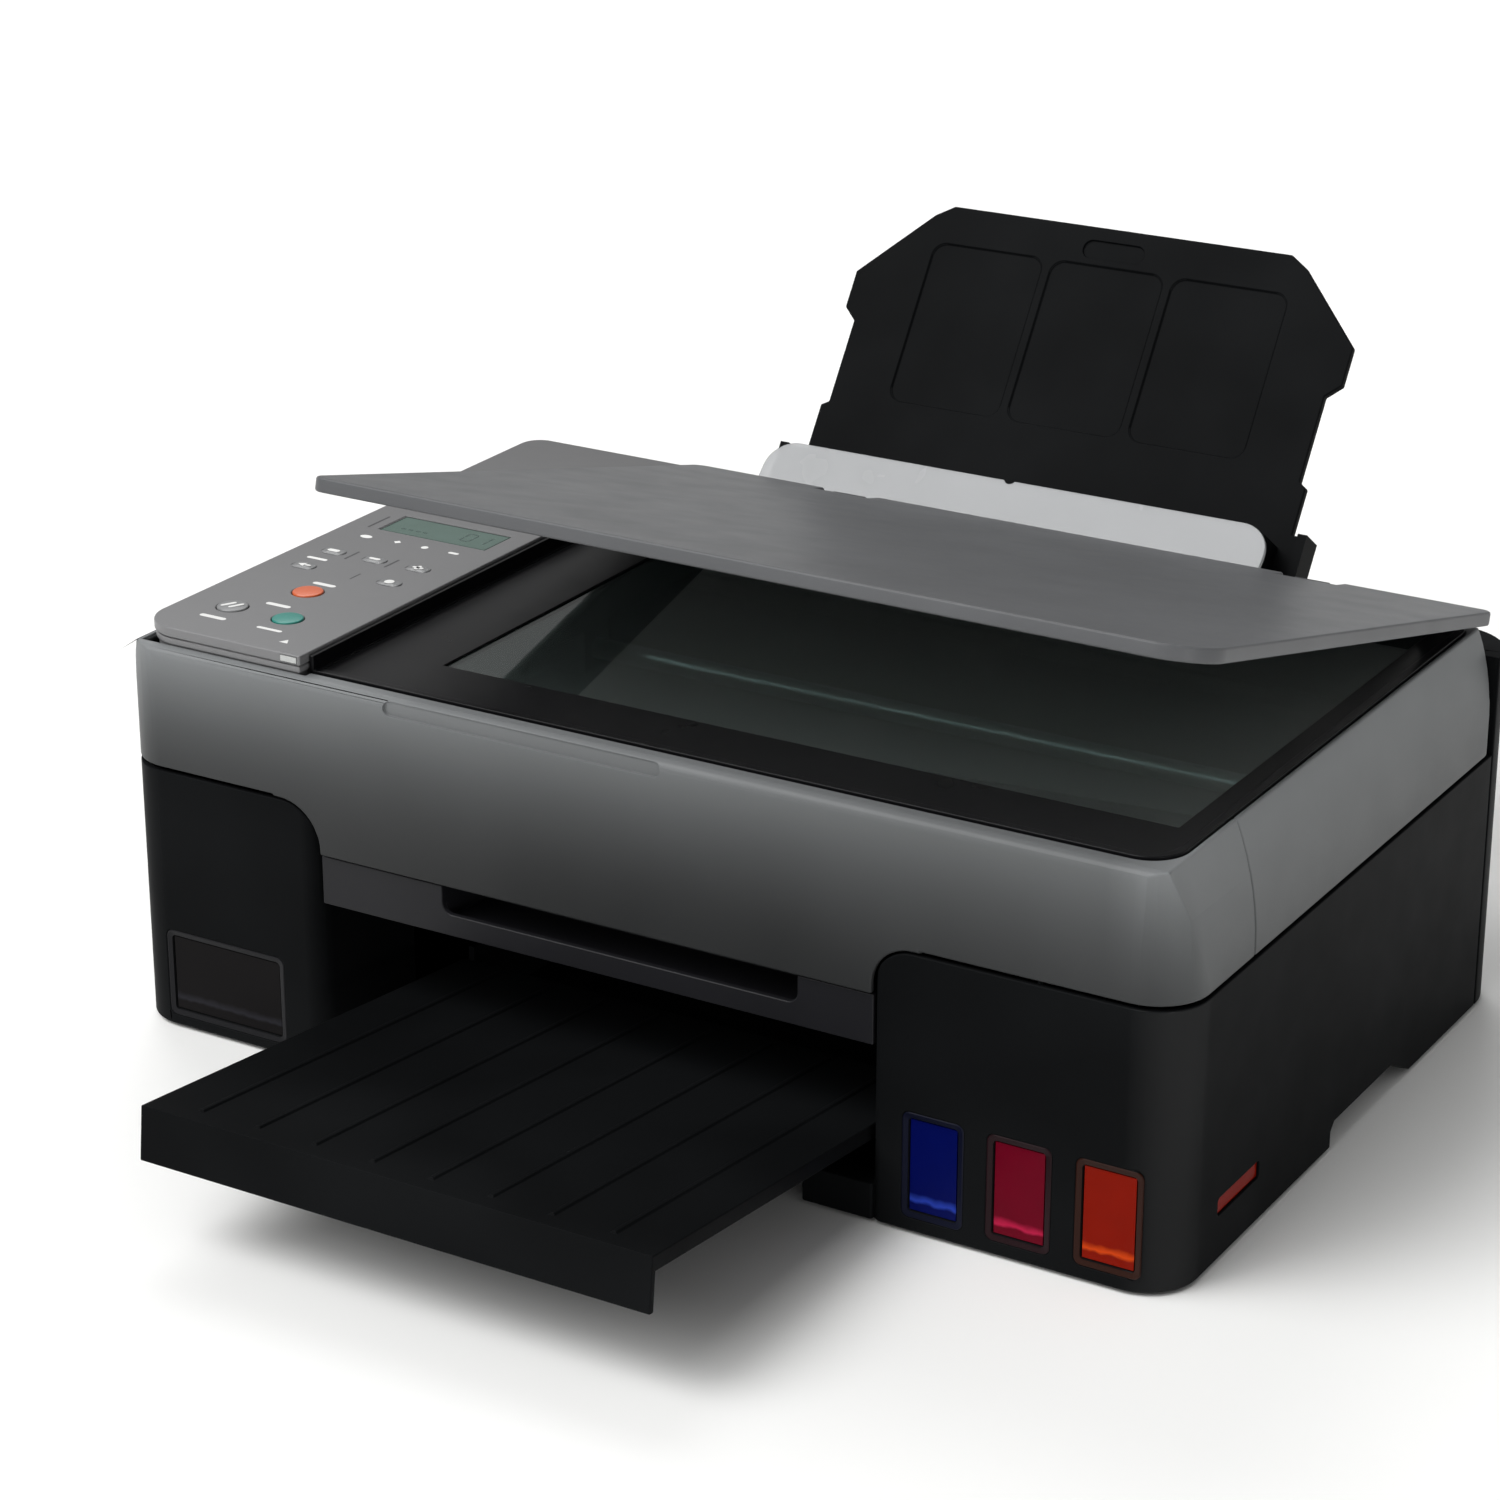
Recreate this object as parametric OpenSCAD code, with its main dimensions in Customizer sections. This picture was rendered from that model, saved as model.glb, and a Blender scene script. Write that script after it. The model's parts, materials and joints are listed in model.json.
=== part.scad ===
// Flatbed inkjet printer with refillable ink tanks.
// X runs to the right, Y to the back and Z up; the origin is on the desk, below the middle of the case.
// It stands as in use: tray pulled out, paper support raised, document cover part open.

/* [Case] */
// Width of the case
case_w = 445; // [445:1:465]
// Depth of the case, without the rear tray
case_d = 302; // [302:1:310]
// Height of the lower case where the scanner unit rests on it
split_z = 107; // [106:0.5:108]
// Thickness of the outer walls
wall = 2.5; // [2:0.1:3]
// Plan radius of the front corners
front_r = 20; // [16:1:22]
// Plan radius of the rear corners
rear_r = 26; // [20:1:28]

/* [Scanner unit] */
// Height of the grey scanner case
scanner_top = 157; // [156:0.5:158]
// Y of the scanner unit's rear wall
scanner_back = 123; // [122:0.5:123]
// Radius that draws the side walls in towards the top
side_r = 117; // [110:1:130]
// Radius of the round edge along the top of its front
front_edge_r = 4; // [3:0.5:5]
// Height of the control panel
panel_top = 164.5; // [164:0.5:166]

/* [Document cover] */
// Angle at which the cover stands open
cover_open = 14.5; // [0:0.5:20]
// Thickness of the cover
cover_t = 5.5; // [5:0.1:6]

/* [Paper path] */
// Lean of the rear tray back from upright
lean = 34.6; // [32:0.1:36]
// Rise of the output tray towards its front
tray_slope = 6.2; // [5:0.1:7]

/* [Hidden] */
$fn = 64;

half_w = case_w / 2;
half_d = case_d / 2;
seam = 1.6;              // gap below the scanner unit
fit = 0.06;              // radial clearance of a running fit
slack = 0.3;             // clearance between parts that move or are fitted loosely
block_l = -130;          // inner side of the left front block
block_r = 106;           // inner side of the right front block
block_back = -92;        // rear end of the front blocks' inner walls
sill_back = -127;        // rear wall of the sill below the output mouth
left_corner = 17;        // radius of the left block's upper corner
right_corner = 15;       // radius of the right block's upper corner
lip_z = 88.5;            // lower edge of the front fascia
chin_z = 68.5;           // ceiling of the output mouth
cover_y = 122;           // axis of the document cover's hinges
cover_z = 161;
unit_y = 127;            // axis of the scanner unit's hinges
unit_z = 152;
slot_y = 133;            // axis of the feed slot cover
slot_z = 148;
slot_lean = 46;          // lean of the feed slot cover back from upright
paper_y = 176.5;         // a point of the paper's plane in the rear tray
paper_z = 165;
tray_y = -290;           // front edge of the output tray, at the top of its lip
tray_z = 52;
feed_y = 18;             // axis of the line feed roller
out_y = -48;             // axis of the output roller
roll_z = 50;             // height of both roller axes
feed_r = 6;
out_r = 5;
pinch_r = 3.5;
star_r = 4;
pickup_r = 14.8;
pickup_gap = 0.4;        // paper's room between the pick-up roller and the tray
gear_m = 0.6;            // module of the paper feed gears
feed_teeth = 60;
idler_teeth = 55;
out_teeth = 50;
pinion_teeth = 15;
idler_y = feed_y - (feed_teeth + idler_teeth) * gear_m / 2;
motor_y = feed_y + (feed_teeth + pinion_teeth) * gear_m / 2;
pinch_z = roll_z + feed_r + pinch_r + slack;
star_z = roll_z + out_r + star_r + 0.4;
gear_x = -199;           // left face of the gear train
gear_w = 4;
rail_y = 0;              // carriage rail
rail_z = 84;
rail_r = 4;
belt_y = 34;             // carriage belt
belt_z = 88;
pulley_r = 6;
pulley_x = 182;
carriage_x = 150;        // middle of the print carriage at its home
glass = [-98, 200, -112, 105];      // clear opening of the platen: left, right, front, back
black_window = [-202, -151, 8, 39];   // window in the left block: left, right, bottom, top
ink_windows = [[120.5, 139.7], [153.5, 173.5], [187.5, 208]];  // windows of cyan, magenta, yellow
window_z = [9, 45];
tank_top = 62;
neck_y = -110;           // filler necks of the tanks
black_neck_x = -176;
scan_y = -3;             // scan rail
scan_z = 127;
scan_r = 4;
level_window = [-116, -82, 18.6, 25.4];   // small window in the right side: front, back, bottom, top
menu_keys = [[-196.5, -65.5], [-196.5, -46], [-176.8, -46], [-156.2, -46], [-156.2, -65]];
stop_at = [-177, -89];
colour_at = [-165.5, -117];
black_at = [-191.5, -117];
display = [-198, -147, -14, 5];           // display window: left, right, front, back
hinge_x = [-60, 145];                     // document cover hinges
unit_hinge_x = [-185, 185];               // scanner unit hinges
foot_at = [[-190, -118], [190, -118], [-190, 112], [190, 112]];
screw_at = [for (x = [-150, 150], z = [60, 90]) [x, z]];   // case screws in the rear housing

casing_black = "#1b1c1d";
grey = "#5f6062";

// ---- shared shapes ----
module box(x0, x1, y0, y1, z0, z1) {
    translate([x0, y0, z0]) cube([x1 - x0, y1 - y0, z1 - z0]);
}

module round_rect(x0, x1, y0, y1, r) {
    translate([x0 + r, y0]) square([x1 - x0 - 2 * r, y1 - y0]);
    translate([x0, y0 + r]) square([x1 - x0, y1 - y0 - 2 * r]);
    for (x = [x0 + r, x1 - r], y = [y0 + r, y1 - r]) translate([x, y]) circle(r);
}

// plate or block with round upright corners
module round_box(x0, x1, y0, y1, z0, z1, r) {
    translate([0, 0, z0]) linear_extrude(z1 - z0) round_rect(x0, x1, y0, y1, r);
}

module rod_x(x0, x1, y, z, r) {
    translate([x0, y, z]) rotate([0, 90, 0]) cylinder(h = x1 - x0, r = r);
}

module rod_y(x, y0, y1, z, r) {
    translate([x, y0, z]) rotate([-90, 0, 0]) cylinder(h = y1 - y0, r = r);
}

module rod_z(x, y, z0, z1, r) {
    translate([x, y, z0]) cylinder(h = z1 - z0, r = r);
}

// the right side's shape for s = 1, its mirror image for s = -1
module scale_x(s) {
    if (s > 0) children();
    else mirror([1, 0, 0]) children();
}

// outline on the XZ plane, carried along Y
module carry_y(y0, y1) {
    translate([0, y1, 0]) rotate([90, 0, 0]) linear_extrude(y1 - y0) children();
}

// outline on the YZ plane, carried along X
module carry_x(x0, x1) {
    translate([x0, 0, 0]) rotate([90, 0, 90]) linear_extrude(x1 - x0) children();
}

// plan of the case: front corners front_r, rear corners back_r, drawn in by t
module plan(t, back, back_r) {
    w = half_w - t;
    front = -half_d + t;
    fr = front_r - t;
    br = max(back_r - t, 1);
    translate([-w + fr, front]) square([2 * (w - fr), fr]);
    translate([-w, front + fr]) square([2 * w, back - t - br - front - fr]);
    translate([-w + br, back - t - br]) square([2 * (w - br), br]);
    for (x = [-w + fr, w - fr]) translate([x, front + fr]) circle(fr);
    for (x = [-w + br, w - br]) translate([x, back - t - br]) circle(br);
}

// straight spur gear on the X axis with a tooth (or, shifted, a gap) towards +Y
module gear(teeth, width, shift) {
    pitch = teeth * gear_m / 2;
    root = pitch - 1.2 * gear_m;
    tip = pitch + 0.85 * gear_m;
    half_root = 0.27 * 360 / teeth;
    half_tip = 0.1 * 360 / teeth;
    rotate([90, 0, 90]) linear_extrude(width) {
        circle(root + 0.02);
        for (i = [0 : teeth - 1]) {
            a = (i + shift) * 360 / teeth;
            polygon([for (p = [[root - 0.3, -half_root], [tip, -half_tip], [tip, half_tip],
                [root - 0.3, half_root]]) p[0] * [cos(a + p[1]), sin(a + p[1])]]);
        }
    }
}

// front view of the two black blocks, grown by g
module blocks_front(g) {
    top = split_z + g;
    translate([-half_w - 5, 0]) square([half_w + 5 + block_l - left_corner, top]);
    translate([block_l - left_corner - 1, 0]) square([left_corner + 1 + g, split_z - left_corner]);
    translate([block_l - left_corner, split_z - left_corner]) circle(left_corner + g);
    translate([block_r + right_corner, 0]) square([half_w + 5 - block_r - right_corner, top]);
    translate([block_r - g, 0]) square([right_corner + 1 + g, split_z - right_corner]);
    translate([block_r + right_corner, split_z - right_corner]) circle(right_corner + g);
}

// end view of the scanner unit: upright sides, then an arc on each side that leans in towards the top
module unit_profile(t) {
    cx = half_w - side_r;
    translate([-half_w + t, 60]) square([case_w - 2 * t, 52.1]);
    intersection() {
        translate([-half_w + t, 112]) square([case_w - 2 * t, 60]);
        union() {
            translate([-cx, 100]) square([2 * cx, 80]);
            for (x = [-cx, cx]) translate([x, 112]) circle(side_r - t, $fn = 180);
        }
    }
}

// scanner unit's outer form, drawn in by t, with a round edge along the top of its front
module unit_form(t, z0, z1) {
    edge = front_edge_r - t;
    intersection() {
        translate([0, 0, z0]) linear_extrude(z1 - z0) plan(t, scanner_back, 8);
        carry_y(-half_d - 1, scanner_back + 1) unit_profile(t);
        carry_x(-half_w, half_w) {
            translate([-half_d + t, 0]) square([case_d, scanner_top - front_edge_r]);
            translate([-half_d + front_edge_r, 0]) square([case_d, scanner_top + 5]);
            translate([-half_d + front_edge_r, scanner_top - front_edge_r]) circle(edge);
        }
    }
}

// frame of the rear tray: Z runs up along the paper, Y away from its back
module lean_frame() {
    translate([0, paper_y, paper_z]) rotate([-lean, 0, 0]) children();
}

// frame of the output tray: Y runs back along it from its front edge, Z = 0 is its top
module tray_frame() {
    translate([0, tray_y, tray_z]) rotate([-tray_slope, 0, 0]) children();
}

// frame of the document cover: drawn closed, then swung open about its hinges
module cover_frame() {
    translate([0, cover_y, cover_z]) rotate([-cover_open, 0, 0]) translate([0, -cover_y, -cover_z])
        children();
}

// ---- lower case ----
// hollow under each side for the hands that lift the printer
module hand_recess(x0, x1, t) {
    carry_x(x0, x1) polygon([[-17.5 - t, -1], [-17.5 - t, 8], [-14.5 - t, 11 + t], [38 + t, 11 + t], [62 + t, -1]]);
}

module base_pan() {
    color("#141516") {
        difference() {
            union() {
                difference() {
                    translate([0, 0, 3]) linear_extrude(4.5) plan(3.2, half_d, rear_r);
                    translate([0, 0, 5.5]) linear_extrude(10) plan(5.7, half_d, rear_r);
                }
                for (s = [-1, 1]) intersection() {
                    translate([0, 0, 3]) linear_extrude(12) plan(3.2, 120, 6);
                    scale_x(s) hand_recess(192, 222, 2);
                }
            }
            // room for the sill and for the inner walls of the front blocks
            box(block_l - wall - slack, block_r + wall + slack, -half_d, sill_back + slack, 0, 30);
            box(block_l - 9, block_r + 5, -half_d, -142, 0, 30);
            for (x = [block_l - wall - slack, block_r - slack])
                box(x, x + wall + 2 * slack, -half_d, block_back + slack, 0, 30);
            for (s = [-1, 1]) scale_x(s) hand_recess(194.5, 230, 0.2);
        }
        // fences that guide the output tray
        for (x = [-107.5, 105]) carry_x(x, x + 2.5)
            polygon([[-88, 5], [40, 5], [40, 18], [-88, 32]]);
    }
}

module rubber_feet() {
    color("#232323") for (p = foot_at) {
        rod_z(p[0], p[1], 0, 3, 8);
    }
}

// shell of one side cover with its front block, open at the top and to the engine
module side_cover_shell(x0, x1, corner) {
    difference() {
        translate([0, 0, 1.5]) linear_extrude(split_z) intersection() {
            plan(0, half_d, rear_r);
            round_rect(x0, x1, -half_d, 300, corner);
            translate([-half_w, -half_d]) square([case_w, half_d + 122.8]);
        }
        translate([0, 0, -1]) linear_extrude(split_z + 5) intersection() {
            plan(wall, half_d, rear_r);
            round_rect(x0 + wall, x1 - wall, -half_d + wall, 300, corner - 2);
        }
        box(-half_w + 10, half_w - 10, block_back, 130, 0, 120);
    }
}

module left_side_cover() {
    color(casing_black) intersection() {
        difference() {
            side_cover_shell(-300, block_l, 8);
            front_window(black_window[0], black_window[1], black_window[2], black_window[3]);
            mirror([1, 0, 0]) hand_recess(190, 230, 0);
        }
        carry_y(-half_d - 1, half_d) blocks_front(0);
    }
}

// opening for an ink window with a shallow frame around it
module front_window(x0, x1, z0, z1) {
    carry_y(-half_d - 1, -half_d + 5) round_rect(x0, x1, z0, z1, 1.5);
    carry_y(-half_d - 1, -half_d + 0.8) round_rect(x0 - 2.5, x1 + 2.5, z0 - 2.5, z1 + 2.5, 3);
}

module right_side_cover() {
    color(casing_black) {
        intersection() {
            difference() {
                side_cover_shell(block_r, 300, 4);
                for (w = ink_windows) front_window(w[0], w[1], window_z[0], window_z[1]);
                carry_x(half_w - 5, half_w + 1)
                    round_rect(level_window[0], level_window[1], level_window[2], level_window[3], 1.5);
                hand_recess(190, 230, 0);
            }
            carry_y(-half_d - 1, half_d) blocks_front(0);
        }
        // sill below the output mouth
        difference() {
            round_box(78, block_r + 0.5, -half_d, sill_back, 1.5, 15.5, 1);
            box(80.5, block_r + 1, -half_d + wall, sill_back - wall, 0, 13);
        }
    }
}

module rear_housing() {
    color(casing_black) {
        difference() {
            translate([0, 0, 1.5]) linear_extrude(144.5) intersection() {
                plan(0, half_d, rear_r);
                translate([-half_w, 123.6]) square([case_w, 40]);
            }
            translate([0, 0, -1]) linear_extrude(144.5) intersection() {
                plan(wall, half_d, rear_r);
                translate([-half_w, 110]) square([case_w, 60]);
            }
            box(-122.5, 122.5, 120, 160, 98, 150);
            box(158, 184, 140, 160, 16, 38);
            box(-179, -161, 140, 160, 15, 31);
            box(21, 111, 140, 160, 6, 48);
            for (p = screw_at) rod_y(p[0], 140, 160, p[1], 1.65);
        }
        // front wall of the feed slot and of the rear deck
        difference() {
            box(-half_w + 2.4, half_w - 2.4, 123.6, 126, 109, 146);
            for (x = unit_hinge_x) box(x - 12, x + 12, 120, 130, 145.9, 150);
        }
        // ears and pins of the scanner unit's hinges
        for (x = unit_hinge_x) {
            for (s = [-1, 1]) {
                box(x + s * 9.5 - 1.5, x + s * 9.5 + 1.5, 123.9, 130, 145.9, unit_z);
                rod_x(x + s * 9.5 - 1.5, x + s * 9.5 + 1.5, unit_y, unit_z, 3.1);
            }
            rod_x(x - 9, x + 9, unit_y, unit_z, 1.6 - fit);
        }
        // bearings of the feed slot cover
        for (s = [-1, 1]) difference() {
            box(s * 120.5 - 5, s * 120.5 + 5, 126, 136, 143, slot_z + 3);
            rod_x(s * 120.5 - 6, s * 120.5 + 6, slot_y, slot_z, 1.5 + fit);
        }
    }
}

module case_screws() {
    color("#3a3c3f") for (p = screw_at) difference() {
        union() {
            rod_y(p[0], 138, half_d, p[1], 1.5);
            rod_y(p[0], half_d, half_d + 1.6, p[1], 3);
        }
        box(p[0] - 1.8, p[0] + 1.8, half_d + 0.8, half_d + 3, p[1] - 0.35, p[1] + 0.35);
        box(p[0] - 0.35, p[0] + 0.35, half_d + 0.8, half_d + 3, p[1] - 1.8, p[1] + 1.8);
    }
}

// chin between the blocks: finger slot under the scanner unit, ceiling of the output mouth
module front_chin() {
    x0 = block_l + 0.6;
    x1 = block_r - 0.6;
    color("#242527") difference() {
        union() {
            box(x0, x1, -149.6, -147, chin_z, lip_z - 0.7);
            box(x0, x1, -149.6, -66, chin_z, chin_z + 2.5);
            box(-78, 78, -149.6, -120, chin_z, lip_z - 0.7);
        }
        carry_y(-half_d - 1, -122.5) {
            round_rect(-75, 75, 77, 100, 4);
        }
        box(-75, 75, -147, -122.5, 73, 100);
    }
}

// ---- ink system ----
// tank with a clear front that stands in its window, and a filler neck
module ink_tank(x0, x1, boss, neck_x) {
    difference() {
        union() {
            round_box(x0, x1, -145.1, -74, 5.5, tank_top, 5.5);
            box(boss[0] + 0.5, boss[1] - 0.5, -149.9, -138, boss[2] + 0.5, boss[3] - 0.5);
            rod_z(neck_x, neck_y, tank_top - 1, 84, 8);
        }
        rod_z(neck_x, neck_y, 50, 90, 5.5);
    }
}

module black_ink_tank() {
    color("#101014") ink_tank(-204, -149, black_window, black_neck_x);
}

module colour_tank(i) {
    w = ink_windows[i];
    ink_tank(w[0] - 1.5, w[1] + 1.5, [w[0], w[1], window_z[0], window_z[1]], (w[0] + w[1]) / 2);
}

module cyan_ink_tank() {
    color("#0a1a8a") colour_tank(0);
}

module magenta_ink_tank() {
    color("#a0103c") colour_tank(1);
}

module yellow_ink_tank() {
    w = level_window;
    color("#d0400a") {
        colour_tank(2);
        box(208, half_w - 0.9, w[0] + 0.5, w[1] - 0.5, w[2] + 0.5, w[3] - 0.5);
    }
}

module ink_tank_caps() {
    color("#2c2d30") for (x = concat([black_neck_x], [for (w = ink_windows) (w[0] + w[1]) / 2])) difference() {
        union() {
            rod_z(x, neck_y, 76, 94, 10);
            rod_z(x, neck_y, 94, 97, 6);
        }
        difference() {
            rod_z(x, neck_y, 70, 87, 8.3);
            rod_z(x, neck_y, 70, 88, 5.2);
        }
    }
}

// ---- print engine ----
module engine_frame() {
    color("#8d9196") {
        // inner side plates beside the paper
        for (s = [-1, 1]) difference() {
            union() {
                box(s * 121 - 1, s * 121 + 1, -62, 46, 5.5, 56.5);
                for (y = [feed_y, out_y]) box(s * 121 - 1, s * 121 + 1, y - 5, y + 5, 50, 64.5);
                box(s * 121 - 6, s * 121 + 6, -60, 44, 5.5, 7);
            }
            engine_bores(s * 121 - 2, s * 121 + 2);
        }
        // end plates that hold the rail
        for (s = [-1, 1]) difference() {
            union() {
                box(s * 191 - 1, s * 191 + 1, -62, 46, 30, 100);
                box(s * 191 - 1, s * 191 + 1, 20, 46, 5.5, 40);
                box(s * 188 - 4, s * 188 + 4, 20, 44, 5.5, 7);
            }
            rod_x(s * 191 - 2, s * 191 + 2, rail_y, rail_z, rail_r);
            engine_bores(s * 191 - 2, s * 191 + 2);
        }
        // rear wall
        difference() {
            box(-192, 192, 45, 46.5, 64, 102);
            rod_y(pulley_x, 40, 50, belt_z, 1.5 + fit);
        }
        rod_y(-pulley_x, 28, 45.5, belt_z, 2 - fit);
        rod_x(-200, -191, idler_y, roll_z, 2 - fit);
    }
}

module engine_bores(x0, x1) {
    rod_x(x0, x1, feed_y, roll_z, 4 + fit);
    rod_x(x0, x1, out_y, roll_z, 3 + fit);
    rod_x(x0, x1, feed_y, pinch_z, 1.8 + fit);
    rod_x(x0, x1, out_y, star_z, 1.2 + fit);
}

module print_platen() {
    color("#202123") {
        box(-113, 113, -40, 10, 47, 54);
        for (x = [-100 : 20 : 100]) box(x - 1, x + 1, -38, 8, 53.5, 55.4);
    }
}

module carriage_rail() {
    color("#b8bcc0") rod_x(-193.5, 193.5, rail_y, rail_z, rail_r - 0.02);
}

module belt_outline(r) {
    translate([-pulley_x, belt_z - r]) square([2 * pulley_x, 2 * r]);
    for (x = [-pulley_x, pulley_x]) translate([x, belt_z]) circle(r);
}

module carriage_belt() {
    color("#1d1d1f") carry_y(belt_y - 3, belt_y + 3) difference() {
        belt_outline(pulley_r + 1.2);
        belt_outline(pulley_r + 0.08);
    }
}

module carriage_motor() {
    color("#3e4145") difference() {
        rod_y(pulley_x, 47, 76, belt_z, 12);
        rod_y(pulley_x, 46, 62, belt_z, 1.5 + fit);
    }
}

module feed_motor() {
    color("#3e4145") difference() {
        rod_x(-218.5, -202, motor_y, roll_z, 12);
        rod_x(-214, -200, motor_y, roll_z, 1 + fit);
    }
}

module cap_unit() {
    color("#2a2c30") {
        difference() {
            box(124, 178, -38, 6, 20, 52);
            box(126, 176, -36, 4, 30, 53);
        }
        for (x = [137, 164]) difference() {
            box(x - 10, x + 10, -34, -8, 29, 56.6);
            box(x - 8.5, x + 8.5, -32.5, -9.5, 54, 60);
        }
    }
}

module belt_drive_pulley() {
    color("#c9a24a") {
        rod_y(pulley_x, belt_y - 3.5, belt_y + 3.5, belt_z, pulley_r);
        for (y = [belt_y - 4.6, belt_y + 3.4]) rod_y(pulley_x, y, y + 1.2, belt_z, pulley_r + 1.7);
        rod_y(pulley_x, belt_y, 61, belt_z, 1.5);
    }
}

module belt_idler_pulley() {
    color("#d8d8d4") difference() {
        union() {
            rod_y(-pulley_x, belt_y - 3.5, belt_y + 3.5, belt_z, pulley_r);
            for (y = [belt_y - 4.6, belt_y + 3.4]) rod_y(-pulley_x, y, y + 1.2, belt_z, pulley_r + 1.7);
        }
        rod_y(-pulley_x, belt_y - 8, belt_y + 8, belt_z, 2);
    }
}

module print_carriage() {
    x = carriage_x;
    color("#26272a") difference() {
        union() {
            round_box(x - 30, x + 30, -38, 8, 60, 97, 2);
            box(x - 30, x + 30, 0, 24, 66.5, 97);
            box(x - 10, x + 10, 22, 38, 78.5, 80.5);
            box(x - 10, x + 10, 22, 38, 82.3, 84);
            box(x - 10, x + 10, 22, 30.5, 78.5, 84);
        }
        rod_x(x - 31, x + 31, rail_y, rail_z, rail_r + fit);
        for (s = [-1, 1]) box(x + s * 15 - 13.3, x + s * 15 + 13.3, -35.3, -6.7, 50, 100);
    }
}

module print_head(x) {
    difference() {
        union() {
            box(x - 13, x + 13, -35, -7, 60.5, 92);
            box(x - 10, x + 10, -31, -11, 57.6, 61);
            box(x - 6, x + 6, -26, -16, 91.5, 95);
        }
        rod_z(x, -21, 88, 99, 2);
    }
}

module black_print_head() {
    color("#303236") print_head(carriage_x - 15);
}

module colour_print_head() {
    color("#3c4a5e") print_head(carriage_x + 15);
}

module pickup_roller() {
    color("#6d6f72") lean_frame() {
        rod_x(-124, 124, -pickup_r - pickup_gap, -105, 3);
        for (x = [-60, 30]) rod_x(x, x + 30, -pickup_r - pickup_gap, -105, pickup_r);
    }
}

module line_feed_roller() {
    color("#a9adb2") {
        rod_x(-117, 117, feed_y, roll_z, feed_r);
        rod_x(gear_x, 124, feed_y, roll_z, 4);
        translate([gear_x, feed_y, roll_z]) gear(feed_teeth, gear_w, 0);
    }
}

module pinch_rollers() {
    color("#3a3b3d") {
        rod_x(-124, 124, feed_y, pinch_z, 1.8);
        for (i = [0 : 5]) rod_x(-105 + i * 37, -80 + i * 37, feed_y, pinch_z, pinch_r);
    }
}

module idler_gear() {
    color("#e6e4dc") translate([gear_x, idler_y, roll_z]) difference() {
        gear(idler_teeth, gear_w, 0.5);
        rod_x(-1, gear_w + 1, 0, 0, 2);
    }
}

module output_roller() {
    color("#4a4c4f") {
        rod_x(gear_x, 124, out_y, roll_z, 3);
        for (i = [0 : 6]) rod_x(-108 + i * 33, -90 + i * 33, out_y, roll_z, out_r);
        translate([gear_x, out_y, roll_z]) gear(out_teeth, gear_w, 0.5);
    }
}

module star_wheels() {
    color("#c4c7cb") {
        rod_x(-124, 124, out_y, star_z, 1.2);
        for (i = [0 : 6]) for (k = [0, 6]) rod_x(-103 + i * 33 + k, -102 + i * 33 + k, out_y, star_z, star_r);
    }
}

module feed_motor_pinion() {
    color("#c9a24a") {
        translate([gear_x, motor_y, roll_z]) gear(pinion_teeth, gear_w, 0);
        rod_x(-212, gear_x + 1, motor_y, roll_z, 1);
    }
}

// ---- electrics ----
module main_board() {
    color("#1f5a38") {
        box(-213, -136, 60, 141, 14, 15.6);
        box(-200, -180, 80, 100, 15.5, 18);
        box(-170, -155, 70, 90, 15.5, 17.5);
        for (x = [-205 : 9 : -150]) box(x, x + 5, 110, 114, 15.5, 19);
        for (x = [-209, -140], y = [64, 136]) rod_z(x, y, 5.5, 14.2, 2.5);
    }
    color("#c9ccd0") difference() {
        box(-177, -163, 128, 150, 15.5, 29);
        box(-175.5, -164.5, 138, 151, 18, 27.5);
    }
}

module power_supply() {
    color("#2b2d30") difference() {
        union() {
            round_box(132, 211, 62, 140, 5.5, 48, 3);
            box(160, 182, 139, 150, 18, 36);
        }
        // two-pole inlet
        carry_y(142, 151) {
            for (x = [167, 175]) translate([x, 27]) circle(4.6);
            translate([167, 22.4]) square([8, 9.2]);
        }
    }
    color("#c9ccd0") for (x = [167, 175]) rod_y(x, 141, 148, 27, 1.1);
}

module maintenance_cartridge() {
    color("#3b3e42") difference() {
        union() {
            round_box(24, 108, 60, 148, 7.5, 46, 2);
            box(26, 106, 147, 150.6, 10, 44);
        }
        box(56, 76, 148.6, 152, 18, 24);
        box(56, 76, 148.6, 152, 30, 36);
    }
}

// ---- rear tray ----
module rear_tray() {
    color("#17181a") {
        lean_frame() {
            difference() {
                union() {
                    box(-121.5, 121.5, 1.5, 3.5, -122, -4);
                    box(-121.5, 121.5, 8.5, 10, -124, -4);
                    for (s = [-1, 1]) {
                        box(s * 119.5 - 2, s * 119.5 + 2, -3, 10, -124, -4);
                        box(s * 119.5 - 2, s * 119.5 + 2, -21, 2, -122, -84);
                    }
                }
                rod_x(-125, 125, -pickup_r - pickup_gap, -105, 3 + fit);
                // slots for the feet of the paper guides
                for (s = [-1, 1]) box(s * 75 - 35, s * 75 + 35, 1, 4, -38, -33);
            }
        }
        // guide that turns the paper forward
        box(-116, 116, 27, 104, 50, 52);
        for (s = [-1, 1]) box(s * 114 - 2, s * 114 + 2, 62, 104, 5.5, 50.5);
    }
}

module paper_support() {
    color("#151618") lean_frame() difference() {
        carry_y(4.2, 7.8) polygon([[-112.3, -18], [-112.3, 17], [-109, 19], [-109, 56], [-115, 61.5],
            [-115, 78], [-86, 108], [-78, 113], [78, 113], [86, 108], [115, 78], [115, 61.5], [109, 56],
            [109, 19], [112.3, 17], [112.3, -18]]);
        for (x = [-82, -26, 30]) carry_y(3, 5.2) round_rect(x, x + 52, 24, 96, 6);
        carry_y(3, 5.2) round_rect(-14, 14, 99, 107, 3.9);
    }
}

module paper_guide() {
    lean_frame() {
        box(106, 109, -16, 1.2, -56, -10);
        box(80, 108, 0.3, 1.2, -50, -20);
        box(94, 104, 0.4, 3, -37.6, -33.4);
    }
}

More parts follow.
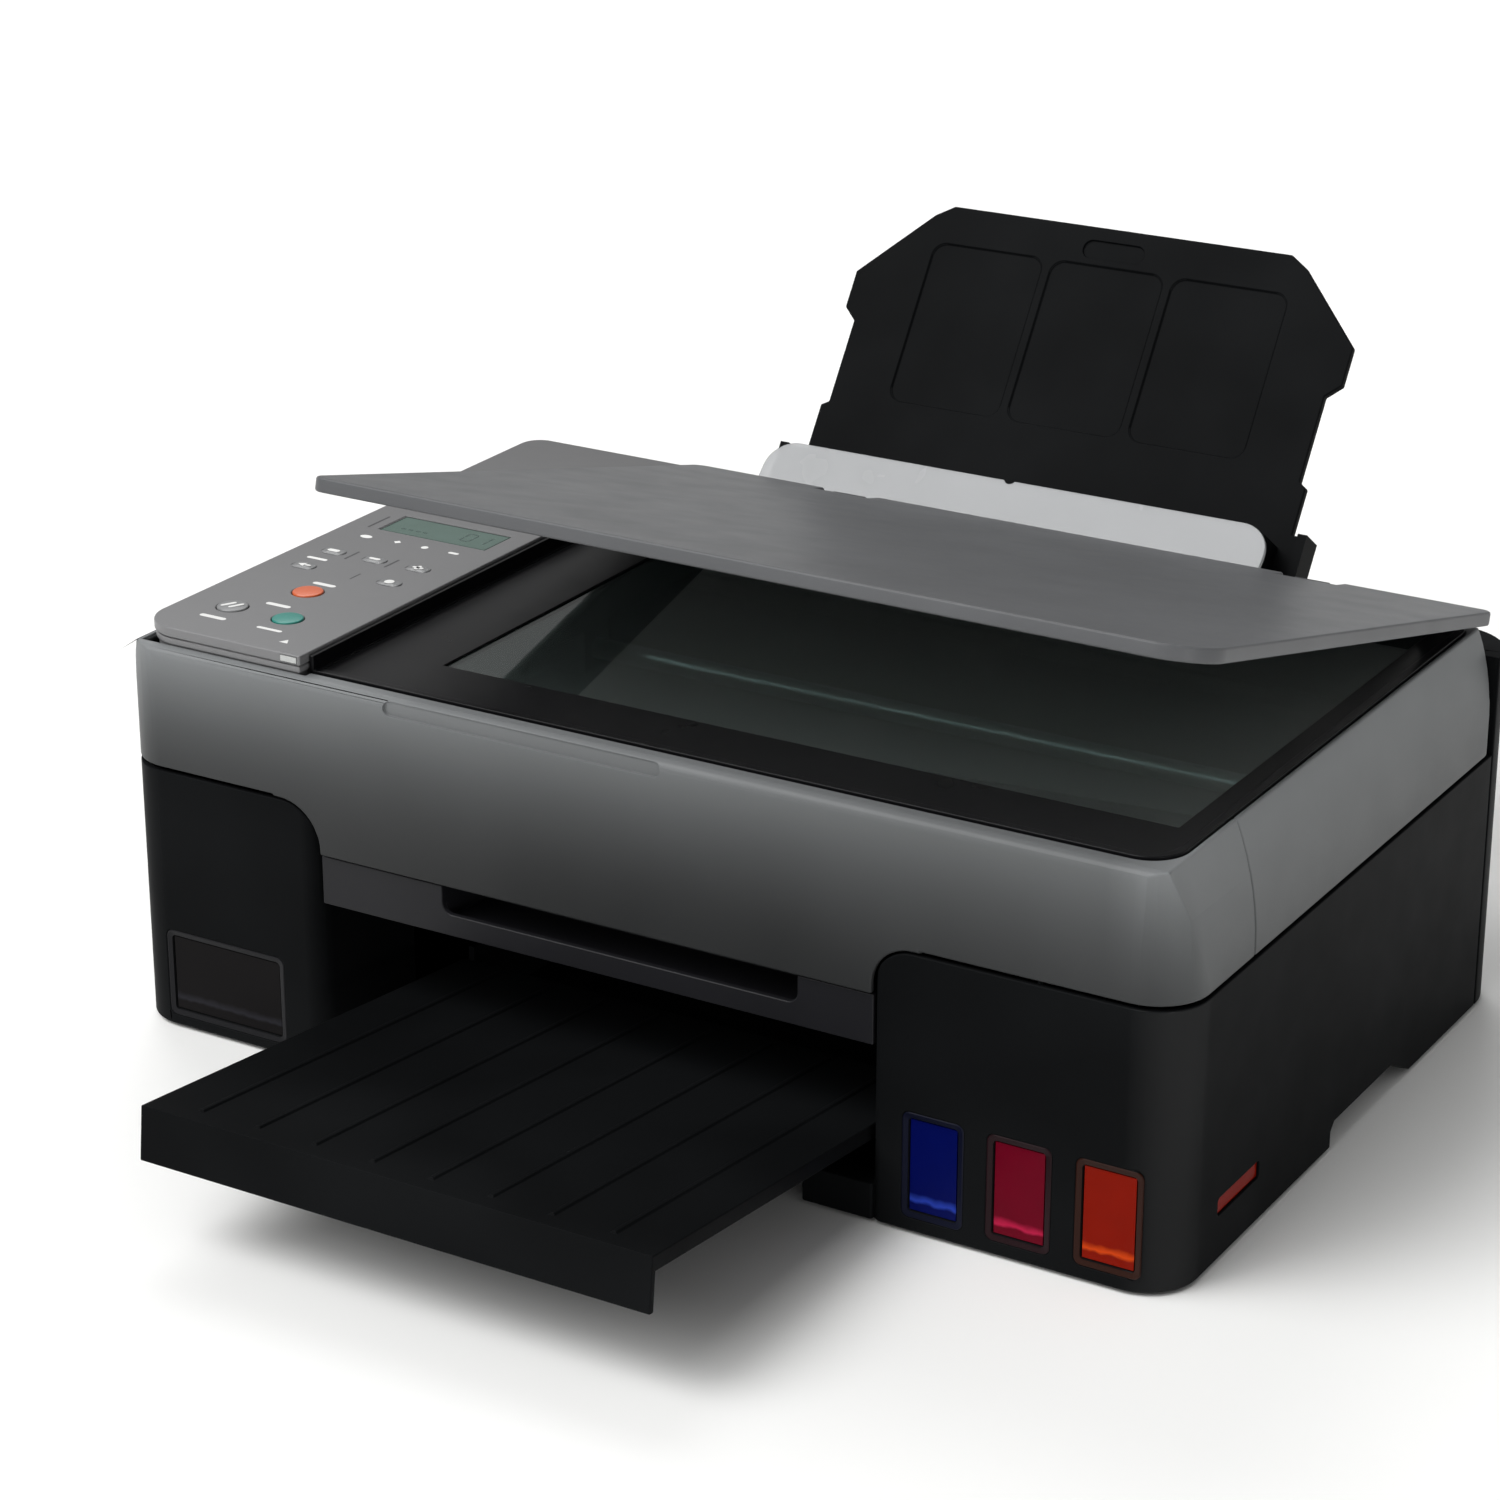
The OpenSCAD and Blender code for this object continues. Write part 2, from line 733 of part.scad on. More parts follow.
module left_paper_guide() {
    color("#26282b") mirror([1, 0, 0]) paper_guide();
}

module right_paper_guide() {
    color("#26282b") paper_guide();
}

module feed_slot_cover() {
    color("#8b8d8f", 0.6) translate([0, slot_y, slot_z]) rotate([-slot_lean, 0, 0]) {
        difference() {
            carry_y(-1, 1) {
                round_rect(-114.6, 114.6, 1, 31, 13);
                translate([-114.6, 0]) square([229.2, 16]);
            }
            rod_y(-3, -2, 2, 32, 2.5);
        }
        rod_x(-114.8, 114.8, 0, 0, 2.4);
        rod_x(-124.5, 124.5, 0, 0, 1.5);
    }
}

// ---- output tray ----
module output_tray() {
    color("#141516") tray_frame() {
        box(-104, 104, 0, 195, -2.5, 0);
        for (x = [-104, 101.5]) box(x, x + 2.5, 0, 195, -6, 0);
        box(-104, 104, 0, 2.5, -20.5, 0);
        for (x = [-84 : 24 : 84]) box(x - 1, x + 1, 8, 190, -0.5, 0.8);
    }
}

// ---- scanner unit ----
module scanner_case() {
    color(grey) {
        difference() {
            union() {
                difference() {
                    unit_form(0, split_z + seam, scanner_top);
                    unit_form(wall, 60, scanner_top - wall);
                }
                // front fascia reaching down between the blocks
                intersection() {
                    unit_form(0, lip_z, split_z + seam + 1);
                    box(block_l - 20, block_r + 18, -half_d - 1, -half_d + wall, lip_z, 120);
                }
            }
            carry_y(-half_d - 1, -half_d + 10) blocks_front(0.9);
            // opening for the platen frame and the control panel
            translate([0, 0, 152]) linear_extrude(18) platen_plan(-slack);
            box(-212, -136, -146, 118.8, 152, 170);
            // shallow finger recess under the cover's front edge
            carry_y(-half_d - 1, -half_d + 1.2) round_rect(-98, 20, 150.5, 155.8, 2.5);
            // fine groove where the front moulding meets the right side
            box(half_w - 12, half_w + 1, -95.2, -94.8, split_z, scanner_top + 1);
        }
        // ears and pins of the document cover's hinges
        for (x = hinge_x) {
            for (s = [-1, 1]) {
                box(x + s * 9.5 - 1.5, x + s * 9.5 + 1.5, 119.6, 122.9, scanner_top - 1, cover_z);
                rod_x(x + s * 9.5 - 1.5, x + s * 9.5 + 1.5, cover_y, cover_z, 2.4);
            }
            rod_x(x - 9, x + 9, cover_y, cover_z, 1.3 - fit);
        }
        // knuckles of the unit's own hinges
        for (x = unit_hinge_x) difference() {
            union() {
                box(x - 7, x + 7, scanner_back - 1, unit_y, unit_z - 2, unit_z + 2);
                rod_x(x - 7, x + 7, unit_y, unit_z, 3.4);
            }
            rod_x(x - 8, x + 8, unit_y, unit_z, 1.6);
        }
    }
}

module scanner_lower_case() {
    color("#1e1f21") {
        difference() {
            translate([0, 0, 109.2]) linear_extrude(8.5) plan(2.8, 120.2, 5);
            translate([0, 0, 111.4]) linear_extrude(20) plan(5, 118, 4);
        }
        // saddles of the scan rail
        for (x = [-132, 212]) difference() {
            box(x - 3, x + 3, -10, 4, 110, 133);
            rod_x(x - 4, x + 4, scan_y, scan_z, scan_r);
        }
    }
}

// outline of the platen frame, drawn in by t: square on the left, round on the right
module platen_plan(t) {
    x1 = 211.5 - t;
    y0 = -142.6 + t;
    y1 = 118.5 - t;
    r0 = 14 - t;
    r1 = 6 - t;
    translate([-136.6 + t, y0]) square([x1 + 136.6 - t - r0, y1 - y0]);
    translate([x1 - r0 - 1, y0 + r0]) square([r0 + 1, y1 - r1 - y0 - r0]);
    translate([x1 - r0 - 1, y0 + r0]) square([r0 + 1 - r1, y1 - y0 - r0]);
    translate([x1 - r0, y0 + r0]) circle(r0);
    translate([x1 - r1, y1 - r1]) circle(r1);
}

module platen_frame() {
    color("#131416") {
        difference() {
            translate([0, 0, 152.2]) linear_extrude(5.8) platen_plan(0);
            translate([0, 0, 157.2]) linear_extrude(5) platen_plan(3.4);
            box(glass[0], glass[1], glass[2], glass[3], 150, 160);
            box(glass[0] - 3, glass[1] + 3, glass[2] - 3, glass[3] + 3, 150, 156.5);
        }
        box(-136.6, -134.8, -142.6, 118.5, 152.2, 163.4);
    }
}

module platen_glass() {
    color("#3c4a48", 0.5) box(glass[0] - 2.7, glass[1] + 2.7, glass[2] - 2.7, glass[3] + 2.7, 153.9, 156.4);
}

module scan_carriage() {
    color("#2b2d30") difference() {
        union() {
            box(-122, -100, -108, 101, 138, 151.8);
            box(-120, -102, -12, 6, 119, 139);
        }
        rod_x(-123, -99, scan_y, scan_z, scan_r + fit);
        box(-114, -108, -106, 99, 150.4, 153);
    }
}

module scan_rail() {
    color("#b8bcc0") rod_x(-136, 216, scan_y, scan_z, scan_r - 0.02);
}

// outline of the control panel, drawn in by t
module panel_plan(t) {
    x0 = -213 + t;
    x1 = -137.2 - t;
    y0 = -147.6 + t;
    y1 = 119 - t;
    r0 = 16 - t;
    r1 = 9 - t;
    translate([x0 + r0, y0]) square([x1 - x0 - r0, r0]);
    translate([x0, y0 + r0]) square([x1 - x0, y1 - r1 - y0 - r0]);
    translate([x0 + r1, y1 - r1]) square([x1 - x0 - r1, r1]);
    translate([x0 + r0, y0 + r0]) circle(r0);
    translate([x0 + r1, y1 - r1]) circle(r1);
}

module control_panel() {
    color("#6a6a6a") difference() {
        union() {
            translate([0, 0, panel_top - 3.9]) linear_extrude(3.9) panel_plan(0);
            translate([0, 0, scanner_top + 0.5]) linear_extrude(2.5) panel_plan(0.5);
            translate([0, 0, 153]) linear_extrude(8) panel_plan(1.6);
        }
        translate([0, 0, 150]) linear_extrude(10.6) panel_plan(3.6);
        box(display[0], display[1], display[2], display[3], panel_top - 1.2, panel_top + 1);
        box(-146.2, -138.4, -150, -144.4, panel_top - 3.4, panel_top - 0.6);
        for (p = concat([stop_at, colour_at, black_at])) rod_z(p[0], p[1], 150, 170, 6.3);
        for (p = menu_keys) round_box(p[0] - 5.3, p[0] + 5.3, p[1] - 3.3, p[1] + 3.3, 150, 170, 3.2);
    }
}

module display_window() {
    color("#6f9d92")
        box(display[0] + 0.3, display[1] - 0.3, display[2] + 0.3, display[3] - 0.3, panel_top - 1.1, panel_top - 0.2);
}

module alarm_lamp_window() {
    color("#b8b4a8") box(-145.9, -138.7, -147.8, -144.6, panel_top - 3.1, panel_top - 0.9);
}

module round_key(p) {
    rod_z(p[0], p[1], 158.4, panel_top + 0.7, 6);
    rod_z(p[0], p[1], 158.4, 160.2, 7.4);
}

module stop_key() {
    color("#c8643c") round_key(stop_at);
}

module colour_start_key() {
    color("#2f7f76") round_key(colour_at);
}

module black_start_key() {
    color("#c9c9c9") round_key(black_at);
}

module menu_key(p) {
    color("#3a3b3d") {
        round_box(p[0] - 5, p[0] + 5, p[1] - 3, p[1] + 3, 158.4, panel_top + 0.6, 2.9);
        round_box(p[0] - 6.4, p[0] + 6.4, p[1] - 4.4, p[1] + 4.4, 158.4, 160.2, 3);
    }
}

// ---- document cover ----
// outline of the closed cover, drawn in by t, with its large front right corner
module cover_plan(t, y0, y1) {
    intersection() {
        round_rect(-134 + t, 219 - t, y0 + t, y1 - t, 6 - t / 2);
        union() {
            translate([-140, y0 - 5]) square([339, 300]);
            translate([190, y0 + 20]) square([40, 280]);
            translate([199, y0 + 20]) circle(20 - t);
        }
    }
}

module document_cover() {
    y0 = -half_d + 0.5;
    y1 = scanner_back + 0.8;
    z0 = cover_z - 2;
    z1 = z0 + cover_t;
    color(grey) cover_frame() difference() {
        translate([0, 0, z0]) linear_extrude(cover_t) cover_plan(0, y0, y1);
        translate([0, 0, z0 - 1]) linear_extrude(cover_t - 1.2) cover_plan(2.2, y0, y1);
        for (x = hinge_x) box(x - 12.5, x + 12.5, 114.5, 130, 150, 170);
    }
}

module cover_pad() {
    color("#e9e9e6") cover_frame()
        round_box(glass[0] + 1.5, glass[1] - 1.5, glass[2] + 1.5, glass[3] - 1.5, 157, cover_z + 1.3, 3);
}

module cover_hinges() {
    color("#2a2b2d") cover_frame() for (x = hinge_x) difference() {
        union() {
            box(x - 7, x + 7, 105.5, cover_y, cover_z - 1.4, cover_z + 1.3);
            rod_x(x - 7, x + 7, cover_y, cover_z, 2.9);
        }
        rod_x(x - 8, x + 8, cover_y, cover_z, 1.3);
    }
}

base_pan();
left_side_cover();
right_side_cover();
rear_housing();
front_chin();
rubber_feet();
case_screws();
black_ink_tank();
cyan_ink_tank();
magenta_ink_tank();
yellow_ink_tank();
ink_tank_caps();
engine_frame();
print_platen();
carriage_rail();
carriage_belt();
carriage_motor();
feed_motor();
cap_unit();
main_board();
power_supply();
maintenance_cartridge();
rear_tray();
print_carriage();
black_print_head();
colour_print_head();
belt_drive_pulley();
belt_idler_pulley();
pickup_roller();
line_feed_roller();
pinch_rollers();
idler_gear();
output_roller();
star_wheels();
feed_motor_pinion();
scanner_case();
scanner_lower_case();
platen_frame();
platen_glass();
scan_carriage();
scan_rail();
control_panel();
display_window();
alarm_lamp_window();
stop_key();
colour_start_key();
black_start_key();
menu_key(menu_keys[0]);  // menu_key_1
menu_key(menu_keys[1]);  // menu_key_2
menu_key(menu_keys[2]);  // menu_key_3
menu_key(menu_keys[3]);  // menu_key_4
menu_key(menu_keys[4]);  // menu_key_5
document_cover();
cover_pad();
cover_hinges();
paper_support();
left_paper_guide();
right_paper_guide();
feed_slot_cover();
output_tray();
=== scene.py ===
# %% [markdown]
# # An inkjet printer with refillable ink tanks
# The printer stands as in use: document cover part open, paper support raised, output tray out.
# Its parts come from a packed CAD model and keep their places. Here they get finishes, soft
# edges, raised key caps, printed marks, ink windows and light.

# %% Load the fixed frame
import bpy
import bmesh
import json
import math
import numpy as np
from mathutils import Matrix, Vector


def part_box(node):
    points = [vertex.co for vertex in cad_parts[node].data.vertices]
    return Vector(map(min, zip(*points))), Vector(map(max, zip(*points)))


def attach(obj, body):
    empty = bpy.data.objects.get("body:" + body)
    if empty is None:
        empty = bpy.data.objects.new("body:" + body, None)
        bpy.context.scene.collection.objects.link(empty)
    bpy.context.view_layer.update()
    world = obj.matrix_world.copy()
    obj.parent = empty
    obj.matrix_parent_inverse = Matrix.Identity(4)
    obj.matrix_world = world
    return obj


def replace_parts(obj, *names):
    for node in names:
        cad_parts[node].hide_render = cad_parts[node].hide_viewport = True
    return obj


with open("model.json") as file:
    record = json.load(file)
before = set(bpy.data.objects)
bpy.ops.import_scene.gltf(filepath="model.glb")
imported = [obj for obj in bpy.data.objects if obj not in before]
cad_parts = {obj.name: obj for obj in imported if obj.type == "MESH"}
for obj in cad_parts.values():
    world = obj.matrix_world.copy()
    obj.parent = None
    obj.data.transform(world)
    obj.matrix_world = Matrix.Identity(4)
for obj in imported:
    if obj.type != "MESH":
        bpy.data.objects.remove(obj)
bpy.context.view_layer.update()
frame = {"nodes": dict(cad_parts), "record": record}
parts = frame["nodes"]
body_of_part = {p: b for b, ps in frame["record"]["behaviour"]["bodies"].items() for p in ps}


def box_of(part_name):
    """Lowest and highest corner of a CAD part at rest, as arrays in metres."""
    return [np.array([float(v) for v in corner]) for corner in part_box(part_name)]


# %% [markdown]
# ## Camera
# The printer is seen from the front right and from above, through a long lens, so its upright
# edges stay nearly parallel. The camera is placed on a circle around a point inside the case,
# which makes the angle easy to read: 31 degrees to the right, 21.8 degrees up.

# %% Camera
aim = np.array([-0.0338, 0.0, 0.0984])
turn, rise, reach = math.radians(30.964), math.radians(21.790), 1.5728
back = np.array([math.sin(turn) * math.cos(rise), -math.cos(turn) * math.cos(rise), math.sin(rise)])
camera = bpy.data.objects.new("camera", bpy.data.cameras.new("camera"))
camera.data.sensor_width = 36.0
camera.data.lens = 4052.2 / 1500 * 36.0
camera.location = aim + reach * back
camera.rotation_euler = (math.pi / 2 - rise, 0.0, turn)
bpy.context.scene.collection.objects.link(camera)
bpy.context.scene.camera = camera
print("lens", round(camera.data.lens, 2), "mm at", [round(v, 3) for v in camera.location])

# %% [markdown]
# ## Shader maths as Python
# A finish is easier to read as a formula than as a chain of nodes. The class Wire holds one
# output socket, and arithmetic on it adds Math nodes. The class Finish makes one material and
# has one method, node, that adds any kind of node: settings first, then values or links.

# %% Wire
class Wire:
    """One output socket. +, -, *, / on it add Math nodes, and numbers may stand on either side."""

    def __init__(self, finish, socket):
        self.finish, self.socket = finish, socket

    def __add__(self, other): return self.finish.maths("ADD", self, other)
    def __radd__(self, other): return self.finish.maths("ADD", other, self)
    def __sub__(self, other): return self.finish.maths("SUBTRACT", self, other)
    def __rsub__(self, other): return self.finish.maths("SUBTRACT", other, self)
    def __mul__(self, other): return self.finish.maths("MULTIPLY", self, other)
    def __rmul__(self, other): return self.finish.maths("MULTIPLY", other, self)
    def __truediv__(self, other): return self.finish.maths("DIVIDE", self, other)
    def __rtruediv__(self, other): return self.finish.maths("DIVIDE", other, self)


print("reflected forms:", sorted(k for k in Wire.__dict__ if k.startswith("__r") and k != "__repr__"))


# %% Finish
class Finish:
    """A material on Principled BSDF. Constants go straight on its sockets."""

    def __init__(self, name, colour=None, **constants):
        self.material = bpy.data.materials.new(name)
        self.material.use_nodes = True
        self.tree = self.material.node_tree
        self.shader = self.tree.nodes["Principled BSDF"]
        if colour is not None:
            self.set("Base Color", linear(colour))
        for socket, value in constants.items():
            self.set(socket.replace("_", " "), value)

    def node(self, kind, settings=None, inputs=None, out=0):
        """Adds a node: settings are its own properties or a ramp's stops, inputs its sockets."""
        made = self.tree.nodes.new("ShaderNode" + kind)
        for key, value in (settings or {}).items():
            if key == "stops":
                stops = made.color_ramp.elements
                for place, shade in value[2:]:
                    stops.new(place)
                for stop, (place, shade) in zip(stops, value):
                    stop.position, stop.color = place, shade
            else:
                setattr(made, key, value)
        for socket, value in (inputs or {}).items():
            self.feed(made.inputs[socket], value)
        return Wire(self, made.outputs[out])

    def feed(self, socket, value):
        """Links a wire to a socket, or sets the socket to a constant."""
        if isinstance(value, Wire):
            self.tree.links.new(value.socket, socket)
        else:
            socket.default_value = value

    def set(self, socket, value):
        self.feed(self.shader.inputs[socket], value)

    def maths(self, operation, a, b, clamp=False):
        return self.node("Math", {"operation": operation, "use_clamp": clamp}, {0: a, 1: b})

    def place(self):
        """Where a point lies on the printer, in metres."""
        return self.node("TexCoord", out="Object")

    def axis(self, letter):
        return self.node("SeparateXYZ", None, {0: self.place()}, out=letter)

    def noise(self, size, detail=2.0, stretch=(1, 1, 1)):
        """Cloudy noise from 0 to 1 whose patches are about size metres across."""
        spot = self.node("Mapping", None, {"Vector": self.place(), "Scale": stretch})
        return self.node("TexNoise", None, {"Vector": spot, "Scale": 1.0 / size, "Detail": detail})

    def between(self, low, high, amount):
        """The part of the way from low to high that amount has gone, held between 0 and 1."""
        return self.node("MapRange", None, {"Value": amount, "From Min": low, "From Max": high})

    def mix(self, amount, first, second):
        """A colour between two colours or colour wires: first at 0, second at 1."""
        return self.node("Mix", {"data_type": "RGBA"}, {0: amount, 6: first, 7: second}, out=2)

    def bump(self, height, depth, under=None):
        """Tilts the shading normal as if height, from 0 to 1, stood depth metres proud."""
        inputs = {"Height": height, "Distance": depth, "Strength": 1.0}
        if under is not None:
            inputs["Normal"] = under
        return self.node("Bump", None, inputs)


print("a finish can:", [k for k in Finish.__dict__ if not k.startswith("__")])

# %% [markdown]
# Colours are easiest to choose as hex codes, as on a screen, but a shader wants amounts of
# light. One function turns the first into the second.

# %% Colours
def linear(text, alpha=1.0):
    """Hex colour as light: each channel c becomes ((c + 0.055) / 1.055) to the power 2.4, or
    c / 12.92 where it is darker than 0.04045."""
    c = np.array([int(text[i:i + 2], 16) for i in (1, 3, 5)]) / 255
    c = np.where(c < 0.04045, c / 12.92, ((c + 0.055) / 1.055) ** 2.4)
    return (float(c[0]), float(c[1]), float(c[2]), alpha)


print("mid grey as light:", [round(v, 3) for v in linear("#808080")])

# %% [markdown]
# ## Moulded plastic
# Nearly all of the casing is injection-moulded plastic. The mould is etched, so the surface has a
# fine grain, about 0.4 mm, that breaks up reflections. A picture of such a grain would need
# unwrapped parts and blurs up close; noise worked out at each point stays sharp on any part.
# One function makes all of these finishes: a slow change of tone over the part, a faint change
# of gloss as handling leaves it, and the grain as a bump. The dark and the light casings then
# differ only in a few numbers.

# %% Moulded plastic
def moulded(name, colour, rough=0.5, grain=0.00045, depth=0.00002, tone=0.10, coat=0.0,
            shine=0.5, flow=None, glaze=None):
    """Base colour times (1 + tone x slow noise), roughness plus smudges, and a fine grain.
    flow, if given, says how dark and light are mixed, and glaze how much coat each place has."""
    f = Finish(name, Roughness=rough, Coat_Weight=coat, Coat_Roughness=0.25, Specular_IOR_Level=shine)
    slow = f.noise(0.06, 1.0)
    light = tuple(min(1.0, v * (1 + tone)) for v in linear(colour)[:3]) + (1.0,)
    dark = tuple(v * (1 - tone) for v in linear(colour)[:3]) + (1.0,)
    patches = f.mix(f.between(0.35, 0.65, slow), dark, light) if flow is None else flow(f, dark, light)
    f.set("Base Color", patches)
    smudge = f.noise(0.018, 2.0)
    f.set("Roughness", rough - 0.06 + smudge * 0.12)
    f.set("Normal", f.bump(f.noise(grain, 1.0), depth))
    if glaze is not None:
        f.set("Coat Weight", glaze(f))
    return f.material


print("grain 0.45 mm wide and 0.02 mm deep unless a finish says otherwise")

# %% [markdown]
# ## Finishes for every material slot
# The packed record names a material slot for each part. A dictionary from slot to material
# means each part gets its finish from the record, and nothing is forgotten.
#
# In a studio, a strip of light runs down the lower case's round front corner. The soft lamps
# used here draw only part of it, so that corner gets a clear coat, which mirrors them more. The
# coat fades out to both sides. A brighter lamp would do it too, but would grey the black plastic.

# %% Casing finishes
side_low, side_high = box_of("right_side_cover")


def glazed_corner(f):
    """Coat weight: 0.42 on the round front right corner, none 20 mm away from it."""
    right = f.between(side_high[0] - 0.020, side_high[0] - 0.002, f.axis("X"))
    front = 1 - f.between(side_low[1] + 0.003, side_low[1] + 0.022, f.axis("Y"))
    return right * front * 0.42


finish = {}
finish["black_case"] = moulded("black_case", "#111213", 0.46, tone=0.16, shine=0.02, glaze=glazed_corner)
finish["charcoal_case"] = moulded("charcoal_case", "#1c1c1f", 0.42, shine=0.2)
finish["cover_grey"] = moulded("cover_grey", "#57585a", 0.44, tone=0.05, shine=0.25)
finish["frame_black"] = moulded("frame_black", "#0a0a0c", 0.3, depth=0.000008, shine=0.15)
finish["engine_plastic"] = moulded("engine_plastic", "#242528", 0.5, tone=0.15, shine=0.35)
finish["head_black"] = moulded("head_black", "#303236", 0.45)
finish["head_colour"] = moulded("head_colour", "#3c4a5e", 0.45)
finish["white_plastic"] = moulded("white_plastic", "#dedcd4", 0.45, tone=0.04)
finish["stop_orange"] = moulded("stop_orange", "#d2602f", 0.35, depth=0.000008, tone=0.06, coat=0.3)
finish["start_teal"] = moulded("start_teal", "#1f8478", 0.35, depth=0.000008, tone=0.06, coat=0.3)
finish["key_light"] = moulded("key_light", "#7e7f80", 0.35, depth=0.000008, tone=0.04, coat=0.3)
finish["key_dark"] = moulded("key_dark", "#6f7071", 0.35, depth=0.000008, tone=0.04, coat=0.3)
finish["lamp_clear"] = moulded("lamp_clear", "#b4b6b4", 0.25, depth=0.000008, tone=0.04, coat=0.5)
finish["pad_white"] = moulded("pad_white", "#ececea", 0.6, grain=0.0012, depth=0.00006, tone=0.03)
print(len(finish), "moulded finishes")

# %% [markdown]
# The scanner case is the light part of the printer. Under a studio's light it looks light near
# its top edge and dark at the lip above the output mouth, and the front falls off to the right.
# Soft lights alone give only part of that fall, so the rest is painted into the base colour as
# light and shade that follow the place on the case. It is read from Object coordinates. The
# control panel's colour has painted shade that falls off in the same way from front to rear.

# %% Scanner case finish
case_low, case_high = box_of("scanner_case")
panel_low, panel_high = box_of("control_panel")


def painted_light_and_shade(f, dark, light):
    """Painted light and shade: dark at the lip and light at the top, stirred by slow noise. On the
    front face the painted fall towards the lip is steeper than on the sides, and the tone falls by
    0.45 to the right as painted shade, up to the round corner, which is light again."""
    height = f.between(case_low[2] - 0.006, case_high[2] - 0.002, f.axis("Z"))
    side = f.between(case_low[1] + 0.001, case_low[1] + 0.016, f.axis("Y"))
    along = f.between(case_low[0] + 0.05, case_high[0] - 0.06, f.axis("X"))
    face = 1 - f.between(case_high[0] - 0.030, case_high[0] - 0.006, f.axis("X"))
    steep = height * height * (0.3 + height * 0.7)
    amount = (steep + (height - steep) * side * 0.62) * (1 - along * face * 0.45)
    return f.mix(amount * 0.94 + f.noise(0.05, 1.0) * 0.06, dark, light)


def painted_panel_shade(f, dark, light):
    """Painted shade: light at the panel's front edge and darker at its rear, in proportion to the
    distance.
    """
    depth = f.between(panel_low[1], panel_high[1], f.axis("Y"))
    return f.mix(depth * 0.92 + f.noise(0.05, 1.0) * 0.08, light, dark)


# The grey case's colour is painted light and shade: tone 0.86 sets how far it runs between dark and
# light.
finish["grey_case"] = moulded("grey_case", "#646667", 0.42, tone=0.86, shine=0.18, flow=painted_light_and_shade)
# The panel's colour is painted shade, light at its front edge and darker towards the rear.
finish["panel_grey"] = moulded("panel_grey", "#6a6a6b", 0.40, depth=0.00001, tone=0.3, shine=0.3,
                               flow=painted_panel_shade)
print("grey case:", len(finish["grey_case"].node_tree.nodes), "nodes")

# %% [markdown]
# ## Rubber, steel and brass
# Rubber is dark and rough with a slightly dusty tone. Drawn or rolled steel has fine streaks
# along one direction. Anisotropic reflection could show them, but it needs tangents and is lost
# on export, so the noise itself is stretched: the coordinates are squeezed along the streak.

# %% Rubber and metals
def rubber(name, colour, rough):
    """Dark body, dusty patches a quarter lighter, and a fine ground texture."""
    f = Finish(name, Specular_IOR_Level=0.3)
    dust = f.between(0.45, 0.75, f.noise(0.008, 3.0))
    c = linear(colour)
    f.set("Base Color", f.mix(dust, c, tuple(v * 1.5 + 0.004 for v in c[:3]) + (1.0,)))
    f.set("Roughness", rough + dust * 0.1)
    f.set("Normal", f.bump(f.noise(0.0006, 2.0), 0.00004))
    return f.material


def metal(name, colour, rough, streak):
    """Metal whose roughness and height change in streaks; streak squeezes the noise by axis."""
    f = Finish(name, Metallic=1.0)
    line = f.noise(0.0006, 2.0, streak)
    c = linear(colour)
    f.set("Base Color", f.mix(f.noise(0.02, 2.0), tuple(v * 0.82 for v in c[:3]) + (1.0,), c))
    f.set("Roughness", rough - 0.07 + line * 0.14)
    f.set("Normal", f.bump(line, 0.000012))
    return f.material


finish["rubber"] = rubber("rubber", "#262626", 0.75)
finish["belt_rubber"] = rubber("belt_rubber", "#1d1d1f", 0.65)
finish["roller_rubber"] = rubber("roller_rubber", "#4c4e52", 0.6)
finish["steel"] = metal("steel", "#b9bdc2", 0.32, (0.02, 1, 1))
finish["roller_steel"] = metal("roller_steel", "#a4a8ae", 0.38, (1, 0.1, 0.1))
finish["brass"] = metal("brass", "#c9a24a", 0.3, (0.05, 1, 1))
finish["motor_steel"] = metal("motor_steel", "#74787d", 0.36, (0.1, 1, 1))
print("rubber and metals:", [n for n in finish if "steel" in n or "rubber" in n or n == "brass"])

# %% [markdown]
# ## Ink tanks
# Each tank is clear plastic full of ink, seen through a window. The ink is deep in colour where
# it is thick, and a paler line near the bottom is a painted highlight, where the tank's floor
# catches light. It could be glass around a coloured volume, but the ink is too dense to see into,
# so an opaque finish looks the same and renders sooner. A thin coat stands for the clear wall in
# front of the ink.

# %% Ink finishes
def ink(name, deep, floor_highlight, floor):
    """Deep colour above and a painted highlight line at height floor, from the height of the point."""
    f = Finish(name, Roughness=0.12, Coat_Weight=0.03, Coat_Roughness=0.04, Specular_IOR_Level=0.05)
    z = f.axis("Z") + (f.noise(0.004, 1.0) - 0.5) * 0.002
    above = f.between(floor - 0.0012, floor, z)
    below = 1 - f.between(floor, floor + 0.0026, z)
    line = above * below
    cloud = f.mix(f.noise(0.012, 2.0), linear(deep), tuple(v * 0.8 for v in linear(deep)[:3]) + (1.0,))
    f.set("Base Color", f.mix(line * 0.6, cloud, linear(floor_highlight)))
    f.set("Roughness", 0.1 + f.noise(0.003, 1.0) * 0.06)
    f.set("Normal", f.bump(f.noise(0.006, 1.0), 0.00005))
    return f.material


# Each row: deep ink colour, the colour of the painted highlight line where the tank's floor catches
# light, and that line's height over the tank's base.
ink_tones = {
    "black_ink": ("#0e0c0d", "#2a2a30", 0.0075), "cyan_ink": ("#030b4e", "#2f49bc", 0.0080),
    "magenta_ink": ("#620018", "#cc2450", 0.0080), "yellow_ink": ("#7c1000", "#e05014", 0.0080),
}
for name, (deep, floor_highlight, over_base) in ink_tones.items():
    finish[name] = ink(name, deep, floor_highlight, box_of(name + "_tank")[0][2] + over_base)
print("inks:", list(ink_tones))

# %% [markdown]
# ## Clear parts
# The platen glass has a faint green tone and bends light, so it uses Transmission. The feed
# slot's cover is a thin smoke-tinted sheet: light passes straight through it, which Alpha shows
# with less noise. The display is a liquid crystal panel, a pale green field; a later step adds
# its thin darker segments as pieces.

